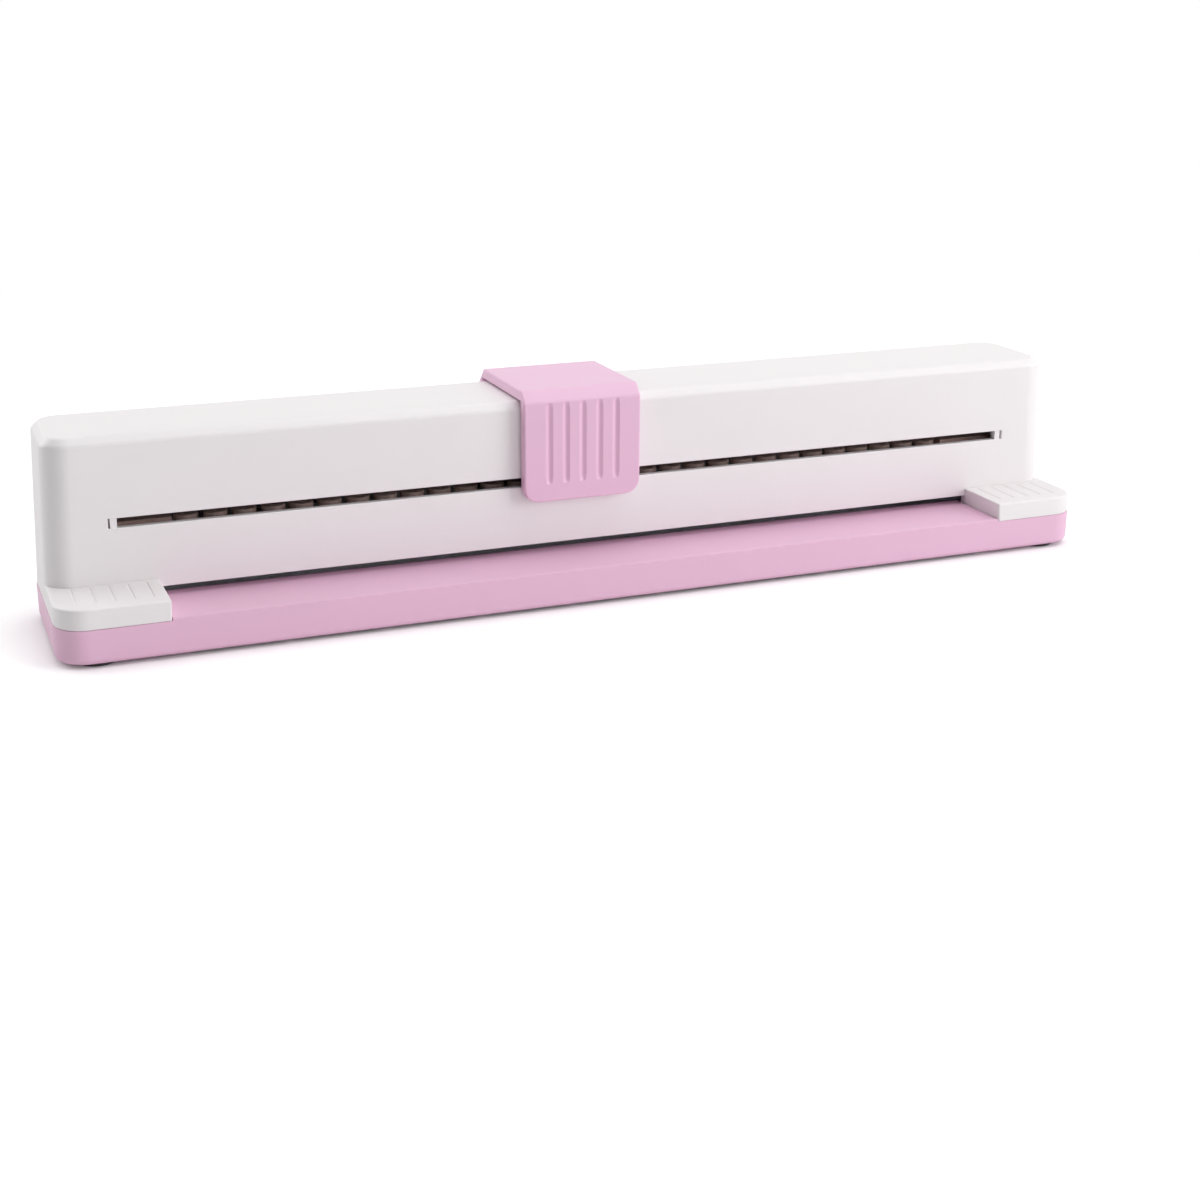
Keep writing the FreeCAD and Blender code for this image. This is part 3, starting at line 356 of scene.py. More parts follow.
    def bevel(self, edges: EdgeTest, width: float, segments: int) -> "Blank":
        """Rounds the chosen edges, or cuts them flat where there is one segment."""
        return self.edit(Kind.EDGES, edges, bpy.ops.mesh.bevel, offset=width * MM, segments=segments,
                         **self.bevel_style)

    def soften(self, width: float, segments: int, least: float) -> "Blank":
        """Rounds every outward edge whose two faces meet at more than an angle.

        Args:
            width: The radius.
            segments: The number of steps in the round.
            least: The least angle between the two faces, in degrees.

        Returns:
            The blank.
        """
        self.hold()
        bpy.ops.object.mode_set(mode="EDIT")
        bpy.ops.mesh.select_mode(type="EDGE")
        bpy.ops.mesh.select_all(action="DESELECT")
        bm = bmesh.from_edit_mesh(self.solid.data)
        for edge in bm.edges:
            if edge.is_convex and edge.calc_face_angle(0.0) > math.radians(least):
                edge.select_set(True)
        bmesh.update_edit_mesh(self.solid.data)
        bpy.ops.mesh.bevel(offset=width * MM, segments=segments, **self.bevel_style)
        bpy.ops.object.mode_set(mode="OBJECT")
        return self

    def extrude(self, faces: FaceTest, by: Triple) -> "Blank":
        """Draws the chosen faces out by an offset."""
        return self.edit(Kind.FACES, faces, bpy.ops.mesh.extrude_region_move,
                         TRANSFORM_OT_translate={"value": metres(by)})

    def split(self, faces: FaceTest, at: Triple, way: Way) -> "Blank":
        """Divides the chosen faces along the plane that looks one way at a point."""
        return self.edit(Kind.FACES, faces, bpy.ops.mesh.bisect, plane_co=metres(at), plane_no=way.value)

    def shift(self, points: PointTest, by: Triple) -> "Blank":
        """Moves the chosen points by an offset."""
        return self.edit(Kind.POINTS, points, bpy.ops.transform.translate, value=metres(by))

    def stretch(self, points: PointTest, by: Triple, about: Triple) -> "Blank":
        """Scales the chosen points about a centre."""
        return self.edit(Kind.POINTS, points, bpy.ops.transform.resize, value=by,
                         center_override=metres(about))

    def combine(self, tools: Sequence["Blank"], joint: Joint) -> "Blank":
        """Cuts tools out of the blank or adds them to it, and clears the tools away.

        Args:
            tools: The blanks to combine with this one.
            joint: Whether they are cut out or added.

        Returns:
            The blank.
        """
        for tool in tools:
            self.hold()
            bpy.ops.object.modifier_add(type="BOOLEAN")
            modifier = self.solid.modifiers[-1]
            modifier.operation = joint.value
            modifier.solver = "EXACT"
            modifier.object = tool.solid
            bpy.ops.object.modifier_apply(modifier=modifier.name)
            bpy.data.objects.remove(tool.solid)
        return self

    def cut(self, *tools: "Blank") -> "Blank":
        """Cuts other blanks out of this one."""
        return self.combine(tools, Joint.CUT)

    def add(self, *tools: "Blank") -> "Blank":
        """Adds other blanks to this one."""
        return self.combine(tools, Joint.ADD)

    def tidy(self) -> "Blank":
        """Merges doubled points, drops slivers and turns all faces outwards.

        Returns:
            The blank.
        """
        self.edit_all(bpy.ops.mesh.remove_doubles, threshold=MERGE_WITHIN)
        self.edit_all(bpy.ops.mesh.dissolve_degenerate, threshold=DROP_BELOW)
        return self.edit_all(bpy.ops.mesh.normals_make_consistent, inside=False)

    def merge_flat(self) -> "Blank":
        """Takes out the edges that lie between faces in one plane."""
        return self.edit_all(bpy.ops.mesh.dissolve_limited, angle_limit=self.flat_within)

    def copied(self, name: str, by: Triple) -> "Blank":
        """Copies the blank, with a mesh of its own, and moves the copy by an offset.

        Args:
            name: The name of the copy.
            by: The offset.

        Returns:
            The copy.
        """
        self.clear_bench()
        twin = self.solid.copy()
        twin.data = self.solid.data.copy()
        bpy.context.scene.collection.objects.link(twin)
        return Blank(twin, name).placed(by)

    def repeated(self, name: str, places: Iterable[Pair]) -> list["Blank"]:
        """Copies the blank to several places at its own height, and clears the pattern away.

        Args:
            name: The name of the copies, which are numbered from 1.
            places: Where they stand.

        Returns:
            The copies.
        """
        copies = [self.copied(f"{name}_{step:02d}", (*place, 0.0)) for step, place in enumerate(places, 1)]
        bpy.data.objects.remove(self.solid)
        return copies

    def row(self, name: str, places: Iterable[Pair]) -> "Blank":
        """Copies the blank to several places as one piece, and clears the pattern away."""
        first, *others = self.repeated(name, places)
        return first.joined(name, *others)

    def placed(self, at: Triple, turn: Turn = Turn.UP) -> "Blank":
        """Turns the blank about the origin and moves it, with its place in its mesh.

        Args:
            at: The offset.
            turn: The way that it points.

        Returns:
            The blank.
        """
        self.hold()
        self.solid.rotation_euler = turn.value
        self.solid.location = metres(at)
        bpy.ops.object.transform_apply(location=True, rotation=True, scale=True)
        return self

    def joined(self, name: str, *others: "Blank") -> "Blank":
        """Puts other blanks into the same object, without merging their solids, and names it.

        Args:
            name: The name of the whole.
            *others: The other blanks.

        Returns:
            The whole.
        """
        self.hold()
        for other in others:
            other.solid.select_set(True)
        bpy.ops.object.join()
        return Blank(self.solid, name)

    def smooth(self) -> "Blank":
        """Shades the faces smooth across all but sharp edges, with large faces kept flat.

        Returns:
            The blank.
        """
        self.hold()
        bpy.ops.object.shade_smooth_by_angle(angle=self.smooth_within)
        bpy.ops.object.modifier_add(type="WEIGHTED_NORMAL")
        modifier = self.solid.modifiers[-1]
        modifier.keep_sharp = True
        bpy.ops.object.modifier_apply(modifier=modifier.name)
        return self

    def dressed(self, material: bpy.types.Material, body: str,
                stands_for: Sequence[str]) -> bpy.types.Object:
        """Gives the finished piece its material and puts it on its body.

        Args:
            material: The finish.
            body: The body of the frame that it moves with.
            stands_for: The nodes of the frame that it is shown in place of.

        Returns:
            The finished object.
        """
        self.solid.data.materials.clear()
        self.solid.data.materials.append(material)
        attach(self.solid, body)
        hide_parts(*stands_for)
        log.info("%s: %d faces, on %s", self.solid.name, len(self.solid.data.polygons), body)
        return self.solid


def linear(colour: Colour) -> Shade:
    """Turns a colour as a screen shows it, 0 to 255, into the linear values that a shader takes.

    Args:
        colour: The colour as it is seen.

    Returns:
        The linear values, with an alpha of 1.
    """
    parts = [value / 255 for value in colour]
    red, green, blue = [part / 12.92 if part <= 0.04045 else ((part + 0.055) / 1.055) ** 2.4
                        for part in parts]
    return (red, green, blue, 1.0)


class Sheet:
    """A node tree that is filled in from left to right."""

    step = 190

    def __init__(self, tree: bpy.types.NodeTree) -> None:
        """Takes the tree to fill in."""
        self.tree = tree
        self.across = 0

    @classmethod
    def emptied(cls, owner: bpy.types.Material | bpy.types.World) -> "Sheet":
        """Empties the node tree of a material or a world.

        Args:
            owner: The material or the world.

        Returns:
            The sheet of its tree.
        """
        owner.use_nodes = True
        owner.node_tree.nodes.clear()
        return cls(owner.node_tree)

    def node(self, kind: str, inputs: dict[str, object] | None = None,
             **settings: object) -> bpy.types.Node:
        """Adds a node.

        Args:
            kind: The node's type, without the words ShaderNode in front.
            inputs: Its inputs by name or number: a value, or a socket to link.
            **settings: Its own settings.

        Returns:
            The node.
        """
        made = self.tree.nodes.new("ShaderNode" + kind)
        self.across += self.step
        made.location = (self.across, 0)
        for key, value in settings.items():
            setattr(made, key, value)
        for key, value in (inputs or {}).items():
            socket = made.inputs[int(key) if key.isdigit() else key]
            if isinstance(value, Socket):
                self.tree.links.new(value, socket)
            else:
                socket.default_value = value
        return made

    def math(self, operation: str, first: object, second: object = 0.0) -> Socket:
        """Adds a Math node and gives its result."""
        return self.node("Math", {"0": first, "1": second}, operation=operation).outputs[0]

    def spread(self, value: object, low: object, high: object, to_low: float = 0.0,
               to_high: float = 1.0) -> Socket:
        """Maps a value from one range to another, held within it."""
        return self.node("MapRange", {"Value": value, "From Min": low, "From Max": high,
                                      "To Min": to_low, "To Max": to_high}).outputs["Result"]

    def mix(self, factor: object, first: object, second: object) -> Socket:
        """Mixes two colours."""
        return self.node("Mix", {"Factor": factor, "6": first, "7": second}, data_type="RGBA").outputs[2]

    def share(self, mask: Socket, amount: float, first: object, second: object) -> Socket:
        """Mixes a share of a second colour into the first where a mask is set."""
        return self.mix(self.math("MULTIPLY", mask, amount), first, second)

    def blend(self, first: Socket, first_share: float, second: Socket, second_share: float) -> Socket:
        """Adds two values up, each with its own share."""
        return self.math("ADD", self.math("MULTIPLY", first, first_share),
                         self.math("MULTIPLY", second, second_share))

    def noise(self, place: Socket, scale: object, detail: float, roughness: float) -> Socket:
        """Adds a noise texture and gives its value."""
        return self.node("TexNoise", {"Vector": place, "Scale": scale, "Detail": detail,
                                      "Roughness": roughness}).outputs["Fac"]

    def apart(self, place: Socket) -> bpy.types.NodeOutputs:
        """Takes a place apart into X, Y and Z."""
        return self.node("SeparateXYZ", {"Vector": place}).outputs

    def group(self, tree: bpy.types.NodeTree, **inputs: float) -> bpy.types.NodeOutputs:
        """Adds a shared effect with its own values.

        Args:
            tree: The effect.
            **inputs: Its values, each under the input's name in small letters.

        Returns:
            Its outputs.
        """
        made = self.node("Group", node_tree=tree)
        for key, value in inputs.items():
            made.inputs[key.replace("_", " ").capitalize()].default_value = value
        return made.outputs


class Effect:
    """A shader group that several finishes share, built once."""

    def __init__(self, name: str, inputs: dict[str, float], outputs: Sequence[str]) -> None:
        """Opens a new group.

        Args:
            name: The group's name.
            inputs: Its number inputs and their defaults.
            outputs: Its number outputs.
        """
        self.tree = bpy.data.node_groups.new(name, "ShaderNodeTree")
        for key, default in inputs.items():
            socket = self.tree.interface.new_socket(key, in_out="INPUT", socket_type="NodeSocketFloat")
            socket.default_value = default
        for key in outputs:
            self.tree.interface.new_socket(key, in_out="OUTPUT", socket_type="NodeSocketFloat")
        self.sheet = Sheet(self.tree)
        self.given = self.tree.nodes.new("NodeGroupInput").outputs
        self.result = self.tree.nodes.new("NodeGroupOutput").inputs
        self.place = self.sheet.node("TexCoord").outputs["Object"]

    def scale(self, name: str) -> Socket:
        """Turns one of the group's sizes, in millimetres, into a texture's scale."""
        return self.sheet.math("DIVIDE", 1.0 / MM, self.given[name])

    def length(self, name: str) -> Socket:
        """Turns one of the group's sizes from millimetres into metres."""
        return self.sheet.math("MULTIPLY", self.given[name], MM)

    def give(self, **outputs: Socket) -> bpy.types.NodeTree:
        """Links sockets to the group's outputs, each named in small letters.

        Args:
            **outputs: The sockets.

        Returns:
            The finished group.
        """
        for name, socket in outputs.items():
            self.tree.links.new(socket, self.result[name.capitalize()])
        return self.tree


class Effects:
    """The shared effects: moulded grain, handling, edge wear, brushing, turning, spangle, and painted shade
    in corners mottled like dust.
    """

    def __init__(self) -> None:
        """Builds every group once."""
        self.grain = self.moulded_grain()
        self.handling = self.handled_areas()
        self.wear = self.edge_wear()
        self.brush = self.brushed_metal()
        self.rings = self.turned_rings()
        self.spangle = self.zinc_spangle()
        # The corner group paints shade into sheltered corners and grooves, mottled like dust.
        self.dust = self.corner_dust()

    @staticmethod
    def moulded_grain() -> bpy.types.NodeTree:
        """Makes the fine spark-eroded grain of a moulding.

        Returns:
            The group, with a height and with a speck that varies the gloss.
        """
        effect = Effect("moulded_grain", {"Size mm": 0.35, "Coarse mm": 9.0}, ("Height", "Speck"))
        sheet = effect.sheet
        fine = effect.scale("Size mm")
        coarse = effect.scale("Coarse mm")
        small = sheet.noise(effect.place, fine, 2.0, 0.55)
        swell = sheet.noise(effect.place, coarse, 1.0, 0.5)
        height = sheet.math("ADD", small, sheet.math("MULTIPLY", swell, 0.6))
        return effect.give(height=height, speck=sheet.spread(small, 0.35, 0.65))

    @staticmethod
    def handled_areas() -> bpy.types.NodeTree:
        """Makes soft patches where hands have made a surface a little smoother and duller.

        Returns:
            The group, with a mask.
        """
        effect = Effect("handled_areas", {"Patch mm": 28.0, "Amount": 1.0}, ("Mask",))
        sheet = effect.sheet
        scale = effect.scale("Patch mm")
        patches = sheet.noise(effect.place, scale, 4.0, 0.6)
        smears = sheet.noise(effect.place, sheet.math("MULTIPLY", scale, 3.7), 3.0, 0.65)
        mask = sheet.spread(sheet.blend(patches, 0.65, smears, 0.35), 0.4, 0.62)
        return effect.give(mask=sheet.math("MULTIPLY", mask, effect.given["Amount"]))

    @staticmethod
    def edge_wear() -> bpy.types.NodeTree:
        """Makes the wear on outward edges, broken up by a fine noise.

        Returns:
            The group, with a mask.
        """
        effect = Effect("edge_wear", {"Start": 0.53, "Full": 0.62}, ("Mask",))
        sheet = effect.sheet
        point = sheet.node("NewGeometry").outputs["Pointiness"]
        edge = sheet.spread(point, effect.given["Start"], effect.given["Full"])
        broken = sheet.spread(sheet.noise(effect.place, 900.0, 3.0, 0.6), 0.3, 0.7)
        return effect.give(mask=sheet.math("MULTIPLY", edge, broken))

    @staticmethod
    def brushed_metal() -> bpy.types.NodeTree:
        """Makes long fine scratches along the row.

        Returns:
            The group, with a height and a tone.
        """
        effect = Effect("brushed_metal", {"Line mm": 0.18, "Stretch": 60.0}, ("Height", "Tone"))
        sheet = effect.sheet
        apart = sheet.apart(effect.place)
        along = sheet.math("DIVIDE", apart["X"], effect.given["Stretch"])
        drawn = sheet.node("CombineXYZ", {"X": along, "Y": apart["Y"], "Z": apart["Z"]}).outputs["Vector"]
        lines = sheet.noise(drawn, effect.scale("Line mm"), 3.0, 0.6)
        return effect.give(height=lines, tone=sheet.spread(lines, 0.3, 0.7))

    @staticmethod
    def turned_rings() -> bpy.types.NodeTree:
        """Makes the fine rings that a lathe leaves, round upright axes one pitch apart.

        Returns:
            The group, with the rings' height and the tone of a stain.
        """
        effect = Effect("turned_rings", {"Ring mm": 0.22, "Pitch mm": 9.5, "Depth mm": 3.1},
                        ("Height", "Tone"))
        sheet = effect.sheet
        apart = sheet.apart(effect.place)
        pitch = effect.length("Pitch mm")
        shifted = sheet.math("DIVIDE", apart["X"], pitch)
        local = sheet.math("MULTIPLY", sheet.math("SUBTRACT", sheet.math("FRACT", shifted), 0.5), pitch)
        deep = sheet.math("SUBTRACT", apart["Y"], effect.length("Depth mm"))
        flat = sheet.math("SQRT", sheet.math("ADD", sheet.math("MULTIPLY", local, local),
                                             sheet.math("MULTIPLY", deep, deep)))
        run = sheet.math("ADD", flat, apart["Z"])
        turns = sheet.math("DIVIDE", run, effect.length("Ring mm"))
        wave = sheet.math("SINE", sheet.math("MULTIPLY", turns, 2 * math.pi))
        stain = sheet.noise(effect.place, 420.0, 4.0, 0.6)
        return effect.give(height=wave, tone=sheet.spread(stain, 0.35, 0.68))

    @staticmethod
    def zinc_spangle() -> bpy.types.NodeTree:
        """Makes the large flat crystals of zinc plate.

        Returns:
            The group, with a tone that changes from crystal to crystal.
        """
        effect = Effect("zinc_spangle", {"Crystal mm": 5.0}, ("Tone",))
        sheet = effect.sheet
        scale = effect.scale("Crystal mm")
        cells = sheet.node("TexVoronoi", {"Vector": effect.place, "Scale": scale, "Randomness": 1.0})
        tone = sheet.node("SeparateColor", {"Color": cells.outputs["Color"]}).outputs["Red"]
        frost = sheet.noise(effect.place, sheet.math("MULTIPLY", scale, 6.0), 3.0, 0.6)
        return effect.give(tone=sheet.blend(tone, 0.7, frost, 0.3))

    @staticmethod
    def corner_dust() -> bpy.types.NodeTree:
        """Makes painted shade in inward corners and grooves, where ambient occlusion finds shelter, mottled
        like dust.

        Returns:
            The group, with a mask.
        """
        effect = Effect("corner_dust", {"Reach mm": 1.2}, ("Mask",))
        sheet = effect.sheet
        reach = effect.length("Reach mm")
        # Ambient occlusion darkens sheltered spots: painted shade, broken up by a speckle.
        shelter = sheet.node("AmbientOcclusion", {"Distance": reach}, samples=6).outputs["AO"]
        hidden = sheet.spread(shelter, 0.85, 0.35)
        speck = sheet.spread(sheet.noise(effect.place, 700.0, 3.0, 0.6), 0.25, 0.75, 0.5, 1.0)
        return effect.give(mask=sheet.math("MULTIPLY", hidden, speck))


@dataclass(frozen=True)
class Look:
    """What a finish puts on its shader: a colour, a roughness, and a height with its depth in mm."""

    colour: Socket
    roughness: Socket
    height: Socket
    depth: float


@dataclass(frozen=True)
class Finish:
    """What every finish has: a name, a colour and a gloss, and a way to make its material."""

    name: str
    colour: Colour
    roughness: float
    metal: float = 0.0
    specular: float = 0.5

    def look(self, sheet: Sheet, effects: Effects) -> Look:
        """Lays the finish's own pattern. Each kind of finish has its own."""
        raise NotImplementedError(self.name)

    def material(self, effects: Effects) -> bpy.types.Material:
        """Makes the material.

        Args:
            effects: The shared effects.

        Returns:
            The material.
        """
        material = bpy.data.materials.new(self.name)
        sheet = Sheet.emptied(material)
        shader = sheet.node("BsdfPrincipled", {"Metallic": self.metal, "Specular IOR Level": self.specular})
        sheet.node("OutputMaterial", {"Surface": shader.outputs["BSDF"]})
        look = self.look(sheet, effects)
        sheet.tree.links.new(look.colour, shader.inputs["Base Color"])
        sheet.tree.links.new(look.roughness, shader.inputs["Roughness"])
        raised = sheet.node("Bump", {"Height": look.height, "Distance": look.depth * MM, "Strength": 1.0})
        sheet.tree.links.new(raised.outputs["Normal"], shader.inputs["Normal"])
        return material

    def shade(self, factor: float) -> Shade:
        """Gives the finish's colour made darker or lighter by a factor."""
        red, green, blue, _ = linear(self.colour)
        return (min(red * factor, 1.0), min(green * factor, 1.0), min(blue * factor, 1.0), 1.0)


@dataclass(frozen=True)
class MouldedPlastic(Finish):
    """Injection-moulded plastic with a fine grain, faint hand marks, and painted shade in its corners and
    grooves mottled like dust.
    """

    grain_size: float = 0.35
    grain_depth: float = 0.012
    grain_gloss: float = 0.035
    mark: float = 0.5
    mark_tone: float = 0.965
    mark_gloss: float = 0.07
    # The dust share and the tone below paint shade into sheltered corners and grooves, mottled like dust.
    dust: float = 0.35
    shade_and_dust_tone: float = 0.72

    def look(self, sheet: Sheet, effects: Effects) -> Look:
        """Lays the grain, the hand marks, and the painted shade in corners and grooves mottled like dust.

        Args:
            sheet: The material's sheet of nodes.
            effects: The shared effects.

        Returns:
            What goes to the shader.
        """
        grain = sheet.group(effects.grain, size_mm=self.grain_size)
        marks = sheet.group(effects.handling, amount=self.mark)
        dust = sheet.group(effects.dust)
        tone = sheet.share(marks["Mask"], 0.5, self.shade(1.0), self.shade(self.mark_tone))
        # Painted shade: the colour darkens in sheltered corners and grooves.
        dusty = sheet.share(dust["Mask"], self.dust, tone, self.shade(self.shade_and_dust_tone))
        speck = sheet.spread(grain["Speck"], 0.0, 1.0, self.roughness - self.grain_gloss,
                             self.roughness + self.grain_gloss)
        rough = sheet.math("SUBTRACT", speck, sheet.math("MULTIPLY", marks["Mask"], self.mark_gloss))
        return Look(dusty, rough, grain["Height"], self.grain_depth)


@dataclass(frozen=True)
class BrushedSteel(Finish):
    """Ground or plated steel with fine lines along the row and bright edges."""

    metal: float = 1.0
    line: float = 0.18
    depth: float = 0.004
    spread: float = 0.12
    tones: Pair = (0.86, 1.06)
    patch: float = 14.0
    stain: float = 0.3
    stain_tone: float = 0.78
    wear: float = 0.6
    wear_tone: float = 1.25

    def look(self, sheet: Sheet, effects: Effects) -> Look:
        """Lays the lines, the stains and the bright edges.

        Args:
            sheet: The material's sheet of nodes.
            effects: The shared effects.

        Returns:
            What goes to the shader.
        """
        lines = sheet.group(effects.brush, line_mm=self.line)
        marks = sheet.group(effects.handling, patch_mm=self.patch)
        worn = sheet.group(effects.wear)
        tone = sheet.mix(lines["Tone"], *map(self.shade, self.tones))
        stained = sheet.share(marks["Mask"], self.stain, tone, self.shade(self.stain_tone))
        bright = sheet.share(worn["Mask"], self.wear, stained, self.shade(self.wear_tone))
        rough = sheet.spread(lines["Tone"], 0.0, 1.0, self.roughness, self.roughness + self.spread)
        return Look(bright, rough, lines["Height"], self.depth)


@dataclass(frozen=True)
class TurnedSteel(Finish):
    """Steel off the lathe, with rings, and an oil-brown tone where it was hardened."""

    metal: float = 0.2
    stain: Colour = (186, 158, 150)
    ring: float = 0.22
    depth: float = 0.003
    spread: float = 0.15
    wear: float = 0.5
    wear_tone: float = 1.7

    def look(self, sheet: Sheet, effects: Effects) -> Look:
        """Lays the rings, the stain and the bright edges.

        Args:
            sheet: The material's sheet of nodes.
            effects: The shared effects.

        Returns:
            What goes to the shader.
        """
        rings = sheet.group(effects.rings, ring_mm=self.ring)
        worn = sheet.group(effects.wear)
        tone = sheet.mix(rings["Tone"], self.shade(1.0), linear(self.stain))
        bright = sheet.share(worn["Mask"], self.wear, tone, self.shade(self.wear_tone))
        rough = sheet.spread(rings["Tone"], 0.0, 1.0, self.roughness, self.roughness + self.spread)
        return Look(bright, rough, rings["Height"], self.depth)


@dataclass(frozen=True)
class ZincSheet(Finish):
    """Bent zinc-plated sheet steel with a faint spangle and rolling lines."""

    metal: float = 0.6
    crystal: float = 5.0
    line: float = 0.3
    depth: float = 0.004
    spread: float = 0.14
    tones: Pair = (0.88, 1.08)

    def look(self, sheet: Sheet, effects: Effects) -> Look:
        """Lays the spangle and the lines.

        Args:
            sheet: The material's sheet of nodes.
            effects: The shared effects.

        Returns:
            What goes to the shader.
        """
        spangle = sheet.group(effects.spangle, crystal_mm=self.crystal)
        lines = sheet.group(effects.brush, line_mm=self.line)
        tone = sheet.mix(spangle["Tone"], *map(self.shade, self.tones))
        rough = sheet.spread(spangle["Tone"], 0.0, 1.0, self.roughness, self.roughness + self.spread)
        return Look(tone, rough, lines["Height"], self.depth)


@dataclass(frozen=True)
class Rubber(Finish):
    """Dark soft rubber with a matt skin and pale dust on it."""

    specular: float = 0.35
    grain_size: float = 0.25
    grain_depth: float = 0.02
    grain_gloss: float = 0.05
    patch: float = 6.0
    dust: float = 0.35
    dust_colour: Colour = (96, 92, 92)

    def look(self, sheet: Sheet, effects: Effects) -> Look:
        """Lays the grain and the dust.

        Args:
            sheet: The material's sheet of nodes.
            effects: The shared effects.

        Returns:
            What goes to the shader.
        """
        grain = sheet.group(effects.grain, size_mm=self.grain_size)
        marks = sheet.group(effects.handling, patch_mm=self.patch)
        dusty = sheet.share(marks["Mask"], self.dust, self.shade(1.0), linear(self.dust_colour))
        rough = sheet.spread(grain["Speck"], 0.0, 1.0, self.roughness - self.grain_gloss,
                             self.roughness + self.grain_gloss)
        return Look(dusty, rough, grain["Height"], self.grain_depth)


@dataclass
class Wardrobe:
    """Every finish of the punch, by the record's material slot."""

    effects: Effects = field(default_factory=Effects)
    # On the moulded plastics, dust sets how strongly shade is painted into sheltered corners and grooves.
    finishes: tuple[Finish, ...] = (
        MouldedPlastic("shell_white", (238, 234, 235), 0.42),
        MouldedPlastic("base_colour", (231, 187, 213), 0.4, dust=0.3),
        MouldedPlastic("cap_colour", (233, 189, 216), 0.38, dust=0.25),
        MouldedPlastic("tray_plastic", (226, 184, 209), 0.47, grain_size=0.5),
        MouldedPlastic("carriage_plastic", (58, 56, 58), 0.42, mark=0.7),
        MouldedPlastic("roller_plastic", (216, 212, 204), 0.36, dust=0.2),
        BrushedSteel("ground_steel", (176, 176, 180), 0.24),
        BrushedSteel("plated_steel", (196, 197, 200), 0.22, line=0.25),
        BrushedSteel("screw_zinc", (188, 190, 196), 0.26, line=0.1),
        BrushedSteel("screw_black", (58, 58, 62), 0.34, line=0.1),
        BrushedSteel("spring_wire", (150, 148, 150), 0.28, line=0.08),
        BrushedSteel("bronzed_steel", (214, 182, 174), 0.42, metal=0.2),
        ZincSheet("zinc_sheet", (184, 182, 180), 0.38),
        TurnedSteel("pin_steel", (218, 188, 180), 0.42),
        Rubber("foot_rubber", (44, 42, 43), 0.72),
    )
    made: dict[str, bpy.types.Material] = field(default_factory=dict)

    def material(self, slot: str) -> bpy.types.Material:
        """Gives the material of a slot, made the first time it is asked for.

        Args:
            slot: The record's material slot.

        Returns:
            The material.
        """
        if slot not in self.made:
            finish = next(finish for finish in self.finishes if finish.name == slot)
            self.made[slot] = finish.material(self.effects)
        return self.made[slot]

    def dress(self, piece: Blank, body: str, slot: str, *nodes: str) -> bpy.types.Object:
        """Dresses a piece in the finish of its slot and puts it on its body."""
        return piece.dressed(self.material(slot), body, nodes)


